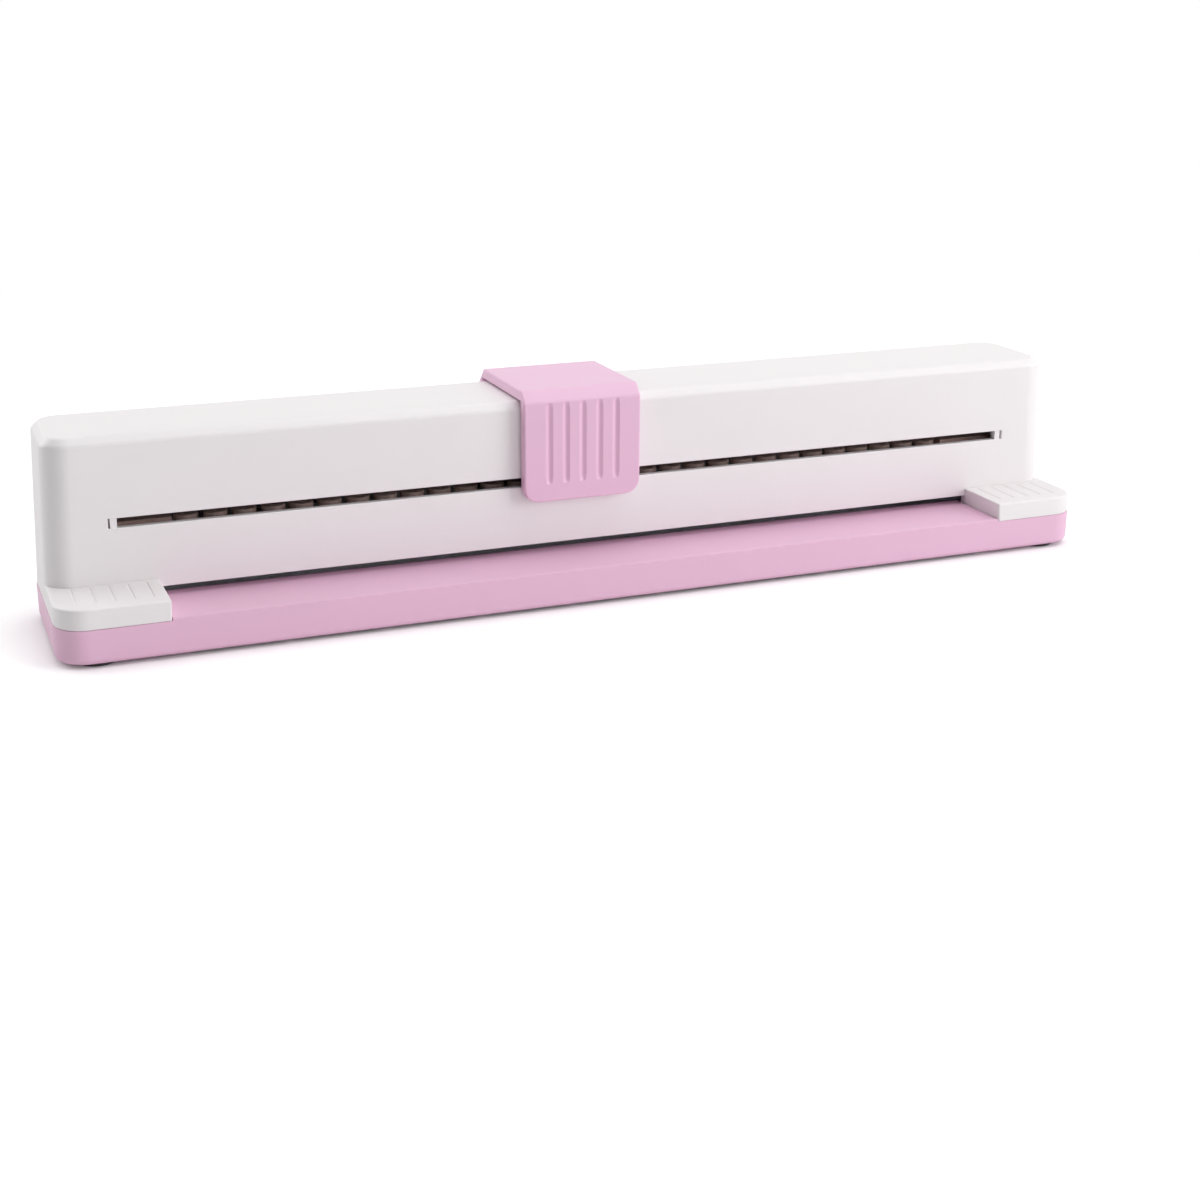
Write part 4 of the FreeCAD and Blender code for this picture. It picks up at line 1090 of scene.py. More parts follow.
@dataclass
class Housing:
    """The pale upper housing: a long hollow body with an end block at each side of the sheet."""

    half_length: float = 184.2
    bay_half: float = 149.5
    face: float = -9.9
    back: float = 28.4
    block_front: float = -32.9
    parting: float = 12.6
    block_top: float = 19.25
    top: float = 66.4
    corner: float = 8.6
    block_corner: float = 10.0
    chamfer: float = 2.3
    chamfer_round: float = 0.7
    rim: float = 0.7
    parting_rim: float = 0.35
    lean: float = 2.6
    wall: float = 2.4
    block_wall: float = 2.72
    throat_top: float = 16.6
    lip_back: float = -5.2
    lip_lap: float = 0.6
    throat_lap: float = 0.5
    slit_half: float = 163.7
    slit_low: float = 37.1
    slit_top: float = 40.3
    flare: float = 0.25
    groove_count: int = 5
    groove_first: float = 153.7
    groove_pitch: float = 5.8
    groove_reach: float = 0.65
    groove_depth: float = 0.3
    groove_ends: Pair = (-27.6, -11.2)
    groove_run: float = 1.4
    groove_steps: int = 8
    boss_radius: float = 3.5
    pilot_radius: float = 1.55
    corner_boss_top: float = 24.6
    corner_pilot_top: float = 23.6
    corner_bosses: tuple[Pair, ...] = both_ends((172.0, -4.7), (172.0, 23.2))
    block_bosses: tuple[Pair, ...] = both_ends((156.0, -22.9))

    def shell(self) -> Blank:
        """Models the outside: the rounded body with its chamfered top, and the two end blocks.

        Returns:
            The shell.
        """
        shell = Blank.block("upper_housing_shell", (-self.half_length, self.face, self.parting),
                            (self.half_length, self.back, self.top))
        shell.bevel(upright, self.corner, 8)
        shell.bevel(at_height(self.top), self.chamfer, 1)
        shell.bevel(lambda a, b: near(a.z, b.z) and a.z > self.top - self.chamfer - NEAR,
                    self.chamfer_round, 3)
        for side in (1, -1):
            shell.add(self.end_block(side)).tidy()
        shell.merge_flat().bevel(at_height(self.parting), self.parting_rim, 2)
        return self.lean_in(shell)

    def end_block(self, side: int) -> Blank:
        """Models the end block on one side, with its soft rim, reaching back into the body.

        Args:
            side: 1 for the right, or -1 for the left.

        Returns:
            The block.
        """
        low, high = span(side, self.bay_half, self.half_length)
        block = Blank.block("end_block", (low, self.block_front, self.parting),
                            (high, self.face + self.corner, self.block_top))
        block.bevel(lambda a, b: upright(a, b) and near(a.y, self.block_front)
                    and near(abs(a.x), self.half_length), self.block_corner, 9)
        return block.bevel(self.is_block_rim, self.rim, 3)

    def is_block_rim(self, first: Vector, second: Vector) -> bool:
        """Tells whether an edge is round an end block's top, or is its inner front corner.

        Args:
            first: One end of the edge.
            second: The other end.

        Returns:
            True if it is.
        """
        if at_height(self.block_top)(first, second):
            return min(first.y, second.y) < self.face
        inner_front = near(first.y, self.block_front) and near(abs(first.x), self.bay_half)
        return upright(first, second) and inner_front

    def lean_in(self, shell: Blank) -> Blank:
        """Leans the two ends of the shell in towards the top, level by level.

        Args:
            shell: The upright shell.

        Returns:
            The shell.
        """
        levels = [self.parting]
        for height in sorted(vert.co.z / MM for vert in shell.solid.data.vertices):
            if height > levels[-1] + NEAR:
                levels.append(height)
        for level in levels[1:]:
            inward = self.lean * (level - self.parting) / (self.top - self.parting)
            for side in (1, -1):
                shell.shift(
                    lambda point: -NEAR / 100 < point.z - level < NEAR * 1.01
                    and side * point.x > self.bay_half + NEAR,
                    (-side * inward, 0.0, 0.0),
                )
        return shell

    def hollows(self) -> list[Blank]:
        """Models what is cut out from below: the long hollow and one under each end block.

        Returns:
            The cutters.
        """
        inside = self.half_length - self.lean - self.wall
        low = self.parting - PAST
        hollow = Blank.block("hollow", (-inside, self.face + self.wall, low),
                             (inside, self.back - self.wall, self.top - self.wall))
        cutters = [hollow.bevel(upright, self.corner - self.wall, 6)]
        for side in (1, -1):
            end = self.half_length - self.block_wall
            left, right = span(side, self.bay_half + self.wall, end)
            void = Blank.block("block_hollow", (left, self.block_front + self.wall, low),
                               (right, self.face, self.block_top - self.wall))
            cutters.append(void.bevel(
                lambda a, b: upright(a, b) and a.y < self.face - PAST and near(abs(a.x), end),
                self.block_corner - self.wall, 6,
            ))
        return cutters

    def posts(self, name: str, radius: float, low: float, tops: Pair, sides: int) -> list[Blank]:
        """Models a rod at each screw of the housing.

        Args:
            name: The name of the pieces.
            radius: Their radius.
            low: The height of their lower ends.
            tops: The heights of their upper ends, at the corners and in the end blocks.
            sides: The number of their sides.

        Returns:
            The rods.
        """
        return [Blank.rod(name, radius, (low, top), at, sides)
                for top, places in zip(tops, (self.corner_bosses, self.block_bosses)) for at in places]

    def slit(self) -> Blank:
        """Models the cutter of the long slit, flared where it meets the face.

        Returns:
            The cutter.
        """
        cutter = Blank.block("slit", (-self.slit_half, self.face + self.flare, self.slit_low),
                             (self.slit_half, self.face + self.wall + PAST, self.slit_top))
        cutter.extrude(facing(Way.FRONT), (0.0, -2 * self.flare, 0.0))
        half_height = (self.slit_top - self.slit_low) / 2
        middle = (0.0, self.face, (self.slit_top + self.slit_low) / 2)
        wider = (self.slit_half + 2 * self.flare) / self.slit_half
        taller = (half_height + 2 * self.flare) / half_height
        return cutter.stretch(lambda point: point.y < self.face, (wider, 1.0, taller), middle)

    def grip_lines(self) -> list[Blank]:
        """Models the cutters of the finger lines on both end blocks.

        Returns:
            The cutters.
        """
        line = Blank.valley("grip_line", self.groove_reach, self.groove_depth, self.groove_ends,
                            self.groove_run, steps=self.groove_steps)
        across = [self.groove_first + step * self.groove_pitch for step in range(self.groove_count)]
        return line.placed((0.0, 0.0, self.block_top), Turn.BACKWARD).repeated(
            "grip_line", [(side * place, 0.0) for side in (1, -1) for place in across])

    def build(self) -> Blank:
        """Models the whole housing.

        Returns:
            The housing.
        """
        low = self.parting - PAST
        housing = self.shell().cut(*self.hollows())
        housing.add(*self.posts("boss", self.boss_radius, self.parting,
                                (self.corner_boss_top, self.block_top - self.wall / 2), 32))
        housing.cut(*self.posts("pilot", self.pilot_radius, low,
                                (self.corner_pilot_top, self.block_top - self.wall), 20))
        lip_half = self.bay_half + self.lip_lap
        housing.add(Blank.block("throat_lip", (-lip_half, self.face + self.wall / 2, self.throat_top),
                                (lip_half, self.lip_back, self.throat_top + self.wall)))
        throat = Blank.block("throat", (-self.bay_half, self.face - PAST, low),
                             (self.bay_half, self.lip_back + self.throat_lap, self.throat_top))
        return housing.cut(throat, self.slit(), *self.grip_lines()).tidy().smooth()

    def dress(self, wardrobe: Wardrobe) -> None:
        """Builds the housing and dresses it in its pale plastic."""
        wardrobe.dress(self.build(), "punch_body", "shell_white", "upper_housing")


@dataclass
class Base:
    """The coloured base with its raised bed, chip chamber, rib cells and screw wells."""

    half_length: float = 184.45
    front: float = -32.9
    back: float = 28.4
    low: float = 1.2
    parting: float = 12.6
    bed: float = 13.5
    bed_half: float = 149.3
    bed_back: float = -5.1
    front_corner: float = 10.0
    rear_corner: float = 8.6
    edge: float = 2.0
    rim: float = 0.3
    seat_half: float = 161.2
    seat_back: float = 19.3
    die_low: float = 11.5
    window_half: float = 143.25
    window_front: float = -1.9
    window_back: float = 16.1
    window_lap: float = 0.5
    chamber_half: float = 145.05
    chamber_front: float = -6.7
    chamber_low: float = 2.8
    chamber_top: float = 9.5
    cell_count: int = 9
    cell_corner: float = 1.2
    rib: float = 2.0
    cell_front: float = -30.5
    cell_back: float = -9.1
    cell_top: float = 11.1
    well_near: float = 163.6
    well_far: float = 182.05
    well_front: float = -1.2
    well_back: float = 19.7
    well_low: float = 3.4
    screw_hole: float = 1.6
    counterbore: float = 2.85
    counterbore_top: float = 3.0
    foot_recess: float = 6.6
    foot_recess_top: float = 1.8

    def shell(self) -> Blank:
        """Models the outside: the rounded tray shape with the bed raised on it.

        Returns:
            The shell.
        """
        shell = Blank.block("lower_base_shell", (-self.half_length, self.front, self.low),
                            (self.half_length, self.back, self.parting))
        shell.bevel(lambda a, b: upright(a, b) and a.y < 0.0, self.front_corner, 9)
        shell.bevel(lambda a, b: upright(a, b) and near(a.y, self.back)
                    and near(abs(a.x), self.half_length), self.rear_corner, 8)
        shell.bevel(at_height(self.low), self.edge, 5)
        for side in (1, -1):
            shell.split(facing(Way.UP), (side * self.bed_half, 0.0, 0.0), Way.RIGHT)
        shell.split(facing(Way.UP, lambda middle: abs(middle.x) < self.bed_half),
                    (0.0, self.bed_back, 0.0), Way.BACK)
        shell.extrude(
            facing(Way.UP, lambda middle: abs(middle.x) < self.bed_half and middle.y < self.bed_back),
            (0.0, 0.0, self.bed - self.parting),
        )
        return shell.merge_flat().bevel(self.is_top_rim, self.rim, 2)

    def is_top_rim(self, first: Vector, second: Vector) -> bool:
        """Tells whether an edge is round the bed's top, or round the outside of the parting.

        Args:
            first: One end of the edge.
            second: The other end.

        Returns:
            True if it is.
        """
        if at_height(self.bed)(first, second):
            return True
        beside = near(abs(first.x), self.bed_half) and near(abs(second.x), self.bed_half)
        behind = near(first.y, self.bed_back) and near(second.y, self.bed_back)
        return at_height(self.parting)(first, second) and not beside and not behind

    def rib_cells(self) -> list[Blank]:
        """Models the hollows between the ribs under the bed.

        Returns:
            The cutters.
        """
        pitch = 2 * self.chamber_half / self.cell_count
        cells = []
        for step in range(self.cell_count):
            left = -self.chamber_half + self.rib / 2 + step * pitch
            cell = Blank.block("rib_cell", (left, self.cell_front, self.low - PAST),
                               (left + pitch - self.rib, self.cell_back, self.cell_top))
            cells.append(cell.bevel(upright, self.cell_corner, 3))
        return cells

    def wells(self) -> list[Blank]:
        """Models the seat of the die plate, the chip window and chamber, and the wells at the ends.

        Returns:
            The cutters.
        """
        boxes = [
            ((-self.seat_half, self.bed_back, self.die_low),
             (self.seat_half, self.seat_back, self.bed + PAST)),
            ((-self.window_half, self.window_front, self.chamber_top - self.window_lap),
             (self.window_half, self.window_back, self.die_low + self.window_lap)),
            ((-self.chamber_half, self.chamber_front, self.chamber_low),
             (self.chamber_half, self.back + PAST, self.chamber_top)),
        ]
        for side in (1, -1):
            left, right = span(side, self.well_near, self.well_far)
            boxes.append(((left, self.well_front, self.well_low),
                          (right, self.well_back, self.parting + PAST)))
        return [Blank.block("well", low, high) for low, high in boxes]

    def build(self, screws: Sequence[Pair], feet: Sequence[Pair]) -> Blank:
        """Models the whole base.

        Args:
            screws: Where the screws pass through it.
            feet: Where the feet are let in.

        Returns:
            The base.
        """
        base = self.shell().cut(*self.wells(), *self.rib_cells())
        under = self.low - PAST
        for at in screws:
            base.cut(Blank.rod("screw_hole", self.screw_hole, (under, self.bed + PAST), at, 24),
                     Blank.rod("counterbore", self.counterbore, (under, self.counterbore_top), at, 32))
        for at in feet:
            base.cut(Blank.rod("foot_recess", self.foot_recess, (under, self.foot_recess_top), at, 48))
        return base.tidy().smooth()

    def dress(self, wardrobe: Wardrobe, screws: Sequence[Pair], feet: Sequence[Pair]) -> None:
        """Builds the base and dresses it in its coloured plastic."""
        wardrobe.dress(self.build(screws, feet), "punch_body", "base_colour", "lower_base")


@dataclass
class ChipTray:
    """The drawer behind the base that catches the chips."""

    half_length: float = 144.75
    front: float = -6.4
    back: float = 27.8
    low: float = 3.1
    top: float = 9.2
    wall: float = 1.2
    floor: float = 4.1
    corner: float = 0.9
    grip_half: float = 20.0
    grip_back: float = 29.6
    grip_low: float = 7.8
    soft: float = 0.3
    soft_least: float = 30.0

    def build(self) -> Blank:
        """Models the drawer: a rounded block, sunk inside its rim, with a finger bar at the back.

        Returns:
            The drawer.
        """
        tray = Blank.block("chip_tray_drawer", (-self.half_length, self.front, self.low),
                           (self.half_length, self.back, self.top))
        for side in (1, -1):
            tray.split(facing(Way.BACK), (side * self.grip_half, 0.0, 0.0), Way.RIGHT)
        tray.split(facing(Way.BACK, lambda middle: abs(middle.x) < self.grip_half),
                   (0.0, 0.0, self.grip_low), Way.UP)
        tray.extrude(
            facing(Way.BACK, lambda middle: abs(middle.x) < self.grip_half and middle.z > self.grip_low),
            (0.0, self.grip_back - self.back, 0.0),
        )
        inside = self.half_length - self.wall
        hollow = Blank.block("tray_hollow", (-inside, self.front + self.wall, self.floor),
                             (inside, self.back - self.wall, self.top + PAST))
        hollow.bevel(upright, self.corner, 3).bevel(at_height(self.floor), self.soft, 2)
        tray.bevel(lambda a, b: upright(a, b) and near(abs(a.x), self.half_length), self.corner, 3)
        return tray.soften(self.soft, 2, self.soft_least).cut(hollow).tidy().smooth()

    def dress(self, wardrobe: Wardrobe) -> None:
        """Builds the drawer and dresses it in its matt plastic."""
        wardrobe.dress(self.build(), "tray", "tray_plastic", "chip_tray")


@dataclass
class SaddleCap:
    """The coloured cap that the hand pushes along, with five finger grooves down its front."""

    middle: float = -6.67
    width: float = 42.0
    front: float = -14.4
    back: float = 32.9
    wall: float = 4.0
    skirt: float = 32.4
    rear_skirt: float = 50.4
    inside_top: float = 66.7
    top: float = 70.45
    front_chamfer: float = 3.8
    rear_chamfer: float = 5.3
    corner: float = 5.2
    soft: float = 0.7
    soft_least: float = 25.0
    groove_count: int = 5
    groove_pitch: float = 6.03
    groove_reach: float = 1.6
    groove_depth: float = 0.75
    groove_ends: Pair = (38.4, 66.5)
    groove_run: float = 2.4
    socket_half: float = 17.1
    socket_low: float = 37.6
    socket_top: float = 39.8
    socket_front: float = -12.3

    def saddle(self) -> Blank:
        """Models the bent plate: a slab with a skirt drawn down at the front and at the back.

        Returns:
            The plate.
        """
        half = self.width / 2
        cap = Blank.block("slider_cap_saddle", (self.middle - half, self.front, self.inside_top),
                          (self.middle + half, self.back, self.top))
        inside_front, inside_back = self.front + self.wall, self.back - self.wall
        for depth in (inside_front, inside_back):
            cap.split(facing(Way.DOWN), (0.0, depth, 0.0), Way.BACK)
        cap.extrude(facing(Way.DOWN, lambda middle: middle.y < inside_front),
                    (0.0, 0.0, self.skirt - self.inside_top))
        cap.extrude(facing(Way.DOWN, lambda middle: middle.y > inside_back),
                    (0.0, 0.0, self.rear_skirt - self.inside_top))
        cap.merge_flat()
        for depth, chamfer in ((self.front, self.front_chamfer), (self.back, self.rear_chamfer)):
            cap.bevel(lambda a, b: at_height(self.top)(a, b) and near(a.y, depth) and near(b.y, depth),
                      chamfer, 1)
        cap.bevel(lambda a, b: near(a.x, b.x) and near(a.z, b.z) and a.z < self.rear_skirt + NEAR,
                  self.corner, 8)
        return cap.soften(self.soft, 3, self.soft_least)

    def build(self) -> Blank:
        """Models the whole cap.

        Returns:
            The cap.
        """
        first = self.middle - self.groove_pitch * (self.groove_count - 1) / 2
        groove = Blank.valley("finger_groove", self.groove_reach, self.groove_depth, self.groove_ends,
                              self.groove_run)
        grooves = groove.repeated("finger_groove", [(first + step * self.groove_pitch, self.front)
                                                    for step in range(self.groove_count)])
        socket = Blank.block(
            "arm_socket", (self.middle - self.socket_half, self.socket_front, self.socket_low),
            (self.middle + self.socket_half, self.front + self.wall + PAST, self.socket_top),
        )
        return self.saddle().cut(*grooves, socket).tidy().smooth()

    def dress(self, wardrobe: Wardrobe) -> None:
        """Builds the cap and dresses it in its coloured plastic."""
        wardrobe.dress(self.build(), "slider", "cap_colour", "slider_cap")


@dataclass
class PinRow:
    """The thirty turned punch pins, each on its own body."""

    count: int = 30
    pitch: float = 9.5
    depth: float = 3.1
    profile: tuple[Pair, ...] = (
        (0.0, 17.6), (1.3, 17.36), (2.55, 16.83), (2.68, 16.8), (2.75, 16.9), (2.75, 26.8), (3.5, 26.8),
        (3.7, 27.0), (3.7, 27.8), (3.5, 28.0), (2.75, 28.0), (2.75, 34.5), (3.75, 34.5), (4.0, 34.75),
        (4.0, 36.0), (3.92, 36.25), (3.7, 36.42), (3.4, 36.5), (1.1, 36.5), (0.85, 36.38), (0.0, 36.34),
    )

    def places(self) -> list[Pair]:
        """Gives the place of each pin."""
        return [((step - (self.count - 1) / 2) * self.pitch, self.depth) for step in range(self.count)]

    def build(self) -> list[Blank]:
        """Turns one pin and copies it along the row."""
        pattern = Blank.turned("punch_pin_pattern", self.profile, 32).smooth()
        return pattern.repeated("turned_pin", self.places())

    def dress(self, wardrobe: Wardrobe) -> None:
        """Builds the pins and puts each on its own body."""
        for step, pin in enumerate(self.build(), start=1):
            wardrobe.dress(pin, f"pin_{step:02d}", "pin_steel", f"punch_pin_{step:02d}")


@dataclass
class SpringRow:
    """The thirty small coil springs that lift the pins."""

    coil: float = 3.4
    wire: float = 0.6
    wire_sides: int = 8
    turns: int = 4
    steps: int = 18
    low: float = 19.6
    top: float = 26.8
    ground: float = 0.12
    squeezed: float = 2.9
    smooth_within: float = 50.0

    def wound(self) -> Blank:
        """Winds one spring at the origin and grinds its ends flat.

        Returns:
            The spring.
        """
        Blank.clear_bench()
        bpy.ops.mesh.primitive_circle_add(
            vertices=self.wire_sides, radius=self.wire / 2 * MM, fill_type="NOTHING",
            location=metres((self.coil, 0.0, self.low - self.ground)), rotation=(math.pi / 2, 0.0, 0.0),
        )
        spring = Blank.fresh("spring_pattern")
        bpy.ops.object.modifier_add(type="SCREW")
        winding = spring.solid.modifiers[-1]
        winding.axis = "Z"
        winding.screw_offset = (self.top - self.low + 2 * self.ground) / self.turns * MM
        winding.iterations = self.turns
        winding.steps = winding.render_steps = self.steps
        bpy.ops.object.modifier_apply(modifier=winding.name)
        bpy.ops.object.mode_set(mode="EDIT")
        bpy.ops.mesh.select_mode(type="EDGE")
        bpy.ops.mesh.select_all(action="DESELECT")
        bpy.ops.mesh.select_non_manifold()
        bpy.ops.mesh.edge_face_add()
        bpy.ops.object.mode_set(mode="OBJECT")
        for height, upper in ((self.low, False), (self.top, True)):
            spring.edit_all(bpy.ops.mesh.bisect, plane_co=metres((0.0, 0.0, height)), use_fill=True,
                            plane_no=Way.UP.value, clear_inner=not upper, clear_outer=upper)
        spring.tidy()
        bpy.ops.object.shade_smooth_by_angle(angle=math.radians(self.smooth_within))
        return spring

    def dress(self, wardrobe: Wardrobe, places: Sequence[Pair]) -> None:
        """Puts a spring under every pin, each with a mesh of its own.

        Args:
            wardrobe: The finishes.
            places: Where the pins stand.
        """
        springs = self.wound().repeated("coil_spring", places)
        for step, (blank, place) in enumerate(zip(springs, places), start=1):
            spring = wardrobe.dress(blank, "punch_body", "spring_wire", "return_springs")
            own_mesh(spring)


@dataclass
class Rollers:
    """The press roller over the pins and the two guide rollers under the frame's roof."""

    depth: float = 3.1
    half_width: float = 4.0
    press_radius: float = 9.0
    press_bore: float = 2.55
    guide_radius: float = 5.0
    guide_bore: float = 1.55
    hub_share: float = 0.28
    tread_share: float = 0.2
    bore_edge: float = 0.2
    web_slope: float = 0.25
    web_sunk: float = 0.45
    tread_edge: float = 0.35
    press_at: Pair = (-6.67, 45.8)
    guide_right_at: Pair = (7.33, 56.4)
    guide_left_at: Pair = (-20.67, 56.4)

    def roller(self, name: str, radius: float, bore: float, at: Pair) -> Blank:
        """Turns one roller with a bevelled tread, a sunk web and a bored hub.

        Args:
            name: The name of the piece.
            radius: The radius of its tread.
            bore: The radius of its bore.
            at: Its distance along the row and its height.

        Returns:
            The roller.
        """
        hub = bore + self.hub_share * (radius - bore)
        web = radius - self.tread_share * (radius - bore)
        side = [(bore, self.bore_edge), (bore + self.bore_edge, 0.0), (hub, 0.0),
                (hub + self.web_slope, self.web_sunk), (web - self.web_slope, self.web_sunk), (web, 0.0),
                (radius - self.tread_edge, 0.0), (radius, self.tread_edge)]
        low = [(reach, sunk - self.half_width) for reach, sunk in side]
        high = [(reach, self.half_width - sunk) for reach, sunk in reversed(side)]
        turned = Blank.turned(name, low + high, 56, closed=True).smooth()
        return turned.placed((at[0], self.depth, at[1]), Turn.BACKWARD)

    def dress(self, wardrobe: Wardrobe) -> None:
        """Turns the three rollers and puts each on its wheel's body.

        Args:
            wardrobe: The finishes.
        """
        press = (self.press_radius, self.press_bore)
        guide = (self.guide_radius, self.guide_bore)
        for node, body, sizes, at in (
            ("press_roller", "press_wheel", press, self.press_at),
            ("guide_roller_right", "guide_wheel_right", guide, self.guide_right_at),
            ("guide_roller_left", "guide_wheel_left", guide, self.guide_left_at),
        ):
            wardrobe.dress(self.roller(f"{node}_turned", *sizes, at), body, "roller_plastic", node)


@dataclass
class Axles:
    """The fixed axles of the rollers and the rivets of the arm, all turned."""

    front: float = -3.7
    back: float = 16.6
    edge: float = 0.3
    centre: float = 0.4
    press_radius: float = 2.5
    guide_radius: float = 1.5
    rivet_radius: float = 1.5
    rivet_head: float = 2.6
    rivet_front: float = -6.8
    rivet_shoulder: float = -5.9
    rivet_back: float = -1.4
    rivet_dome: tuple[Pair, ...] = ((0.0, 0.0), (1.1, 0.1), (1.9, 0.35), (2.4, 0.62))
    rivet_at: tuple[Pair, ...] = ((3.33, 48.3), (-16.67, 48.3))

    def laid(self, name: str, profile: Sequence[Pair], places: Sequence[Pair]) -> Blank:
        """Turns a profile and lays it from front to back at one or more places, as one piece.

        Args:
            name: The name of the piece.
            profile: The outline, from its front end to its back end.
            places: The distance along the row and the height of each.

        Returns:
            The piece.
        """
        first, *others = [Blank.turned(name, profile, 32).smooth().placed((x, 0.0, z), Turn.BACKWARD)
                          for x, z in places]
        return first.joined(name, *others)

    def axle(self, name: str, radius: float, *places: Pair) -> Blank:
        """Turns an axle with bevelled ends and centre marks.

        Args:
            name: The name of the piece.
            radius: The axle's radius.
            *places: The distance along the row and the height of each.

        Returns:
            The axle.
        """
        profile = [(0.0, self.front + self.edge), (self.centre, self.front),
                   (radius - self.edge, self.front), (radius, self.front + self.edge),
                   (radius, self.back - self.edge), (radius - self.edge, self.back),
                   (self.centre, self.back), (0.0, self.back - self.edge)]
        return self.laid(name, profile, places)

    def rivets(self) -> Blank:
        """Turns the two round-headed rivets that hold the arm to the carriage.

        Returns:
            The rivets.
        """
        head = [(reach, self.rivet_front + sunk) for reach, sunk in self.rivet_dome]
        shank = [(self.rivet_head, self.rivet_shoulder), (self.rivet_radius, self.rivet_shoulder),
                 (self.rivet_radius, self.rivet_back - self.edge),
                 (self.rivet_radius - self.edge, self.rivet_back), (0.0, self.rivet_back)]
        return self.laid("arm_rivets_turned", head + shank, self.rivet_at)

    def dress(self, wardrobe: Wardrobe, rollers: Rollers) -> None:
        """Turns the axles and rivets and puts them on the slider.

        Args:
            wardrobe: The finishes.
            rollers: The rollers that run on the axles.
        """
        guides = self.axle("guide_axles_turned", self.guide_radius, rollers.guide_right_at,
                           rollers.guide_left_at)
        press = self.axle("press_axle_turned", self.press_radius, rollers.press_at)
        wardrobe.dress(press, "slider", "ground_steel", "press_axle")
        wardrobe.dress(guides, "slider", "ground_steel", "guide_axles")
        wardrobe.dress(self.rivets(), "slider", "plated_steel", "arm_rivets")


@dataclass
class Fasteners:
    """The cross-headed screws under the base and the socket bolts through the punching stack."""

    seat: float = 3.0
    head_low: float = 1.4
    head_side: float = 0.85
    head_radius: float = 2.75
    head_dome: tuple[Pair, ...] = ((0.0, 0.0), (1.7, 0.0), (2.3, 0.12), (2.64, 0.42))
    shank: float = 1.5
    root: float = 1.22
    thread_start: float = 0.8
    thread_pitch: float = 1.25
    thread_flat: float = 0.35
    thread_crest: float = 0.75
    thread_end: float = 1.5
    tip: tuple[Pair, ...] = ((1.22, -0.9), (0.5, -0.1), (0.0, 0.0))
    recess_top: float = 2.45
    recess_half: float = 1.35
    recess_blade: float = 0.32
    recess_taper: Triple = (0.45, 0.45, 1.0)
    long_top: float = 23.4
    block_top: float = 16.65
    die_top: float = 16.4
    bolt_low: float = 11.5
    bolt_seat: float = 30.0
    bolt_top: float = 32.2
    bolt_radius: float = 2.0
    bolt_edge: float = 0.3
    bolt_head: float = 3.5
    bolt_rim: float = 0.15
    bolt_side: float = 0.9
    bolt_dome: tuple[Pair, ...] = ((0.4, 0.55), (1.0, 0.1), (1.3, 0.0))
    socket_radius: float = 1.35
    socket_depth: float = 1.3
    bolt_depth: float = 13.6
    bolt_places: tuple[float, ...] = (-155.25, -93.15, -31.05, 31.05, 93.15, 155.25)
    corner_places: tuple[Pair, ...] = both_ends((172.0, -4.7), (172.0, 23.2))
    block_places: tuple[Pair, ...] = both_ends((156.0, -22.9))
    die_places: tuple[Pair, ...] = both_ends((155.25, 4.35))

    def places(self) -> list[Pair]:
        """Gives the places of all the screws in the base."""
        return [*self.corner_places, *self.block_places, *self.die_places]

    def screw(self, top: float) -> Blank:
        """Turns one screw at the origin and cuts the cross into its head.

        Args:
            top: The height of its end.

        Returns:
            The screw.
        """
        profile = [(reach, self.head_low + rise) for reach, rise in self.head_dome]
        profile += [(self.head_radius, self.head_low + self.head_side), (self.head_radius, self.seat),
                    (self.shank, self.seat)]
        height = self.seat + self.thread_start
        while height < top - self.thread_end:
            profile += [(self.root, height), (self.root, height + self.thread_flat),
                        (self.shank, height + self.thread_crest)]
            height += self.thread_pitch
        profile += [(reach, top + drop) for reach, drop in self.tip]
        screw = Blank.turned("screw_pattern", profile, 28)
        for x, y in ((self.recess_half, self.recess_blade), (self.recess_blade, self.recess_half)):
            slot = Blank.block("cross", (-x, -y, self.head_low - PAST / 2), (x, y, self.recess_top))
            screw.cut(slot.stretch(lambda point: point.z > self.recess_top - NEAR, self.recess_taper,
                                   (0.0, 0.0, 0.0)))
        return screw.tidy().smooth()

    def bolt(self) -> Blank:
        """Turns one button-headed bolt and cuts its hexagon socket.

        Returns:
            The bolt.
        """
        profile = [(0.0, self.bolt_low), (self.bolt_radius - self.bolt_edge, self.bolt_low),
                   (self.bolt_radius, self.bolt_low + self.bolt_edge), (self.bolt_radius, self.bolt_seat),
                   (self.bolt_head - self.bolt_rim, self.bolt_seat),
                   (self.bolt_head, self.bolt_seat + self.bolt_rim),
                   (self.bolt_head, self.bolt_seat + self.bolt_side),
                   *[(self.bolt_head - inward, self.bolt_top - down) for inward, down in self.bolt_dome],
                   (0.0, self.bolt_top)]
        socket = Blank.rod("socket", self.socket_radius,
                           (self.bolt_top - self.socket_depth, self.bolt_top + PAST / 2), (0.0, 0.0), 6)
        return Blank.turned("stack_bolt_pattern", profile, 36).cut(socket).tidy().smooth()

    def dress(self, wardrobe: Wardrobe) -> None:
        """Makes every row of screws and bolts, each as one piece, and puts it on the punch's body.

        Args:
            wardrobe: The finishes.
        """
        for node, name, top, places in (
            ("housing_screws", "cross_screws_corners", self.long_top, self.corner_places),
            ("block_screws", "cross_screws_blocks", self.block_top, self.block_places),
            ("die_screws", "cross_screws_die", self.die_top, self.die_places),
        ):
            wardrobe.dress(self.screw(top).row(name, places), "punch_body", "screw_black", node)
        bolts = self.bolt().row("socket_bolts", [(x, self.bolt_depth) for x in self.bolt_places])
        wardrobe.dress(bolts, "punch_body", "screw_zinc", "stack_bolts")


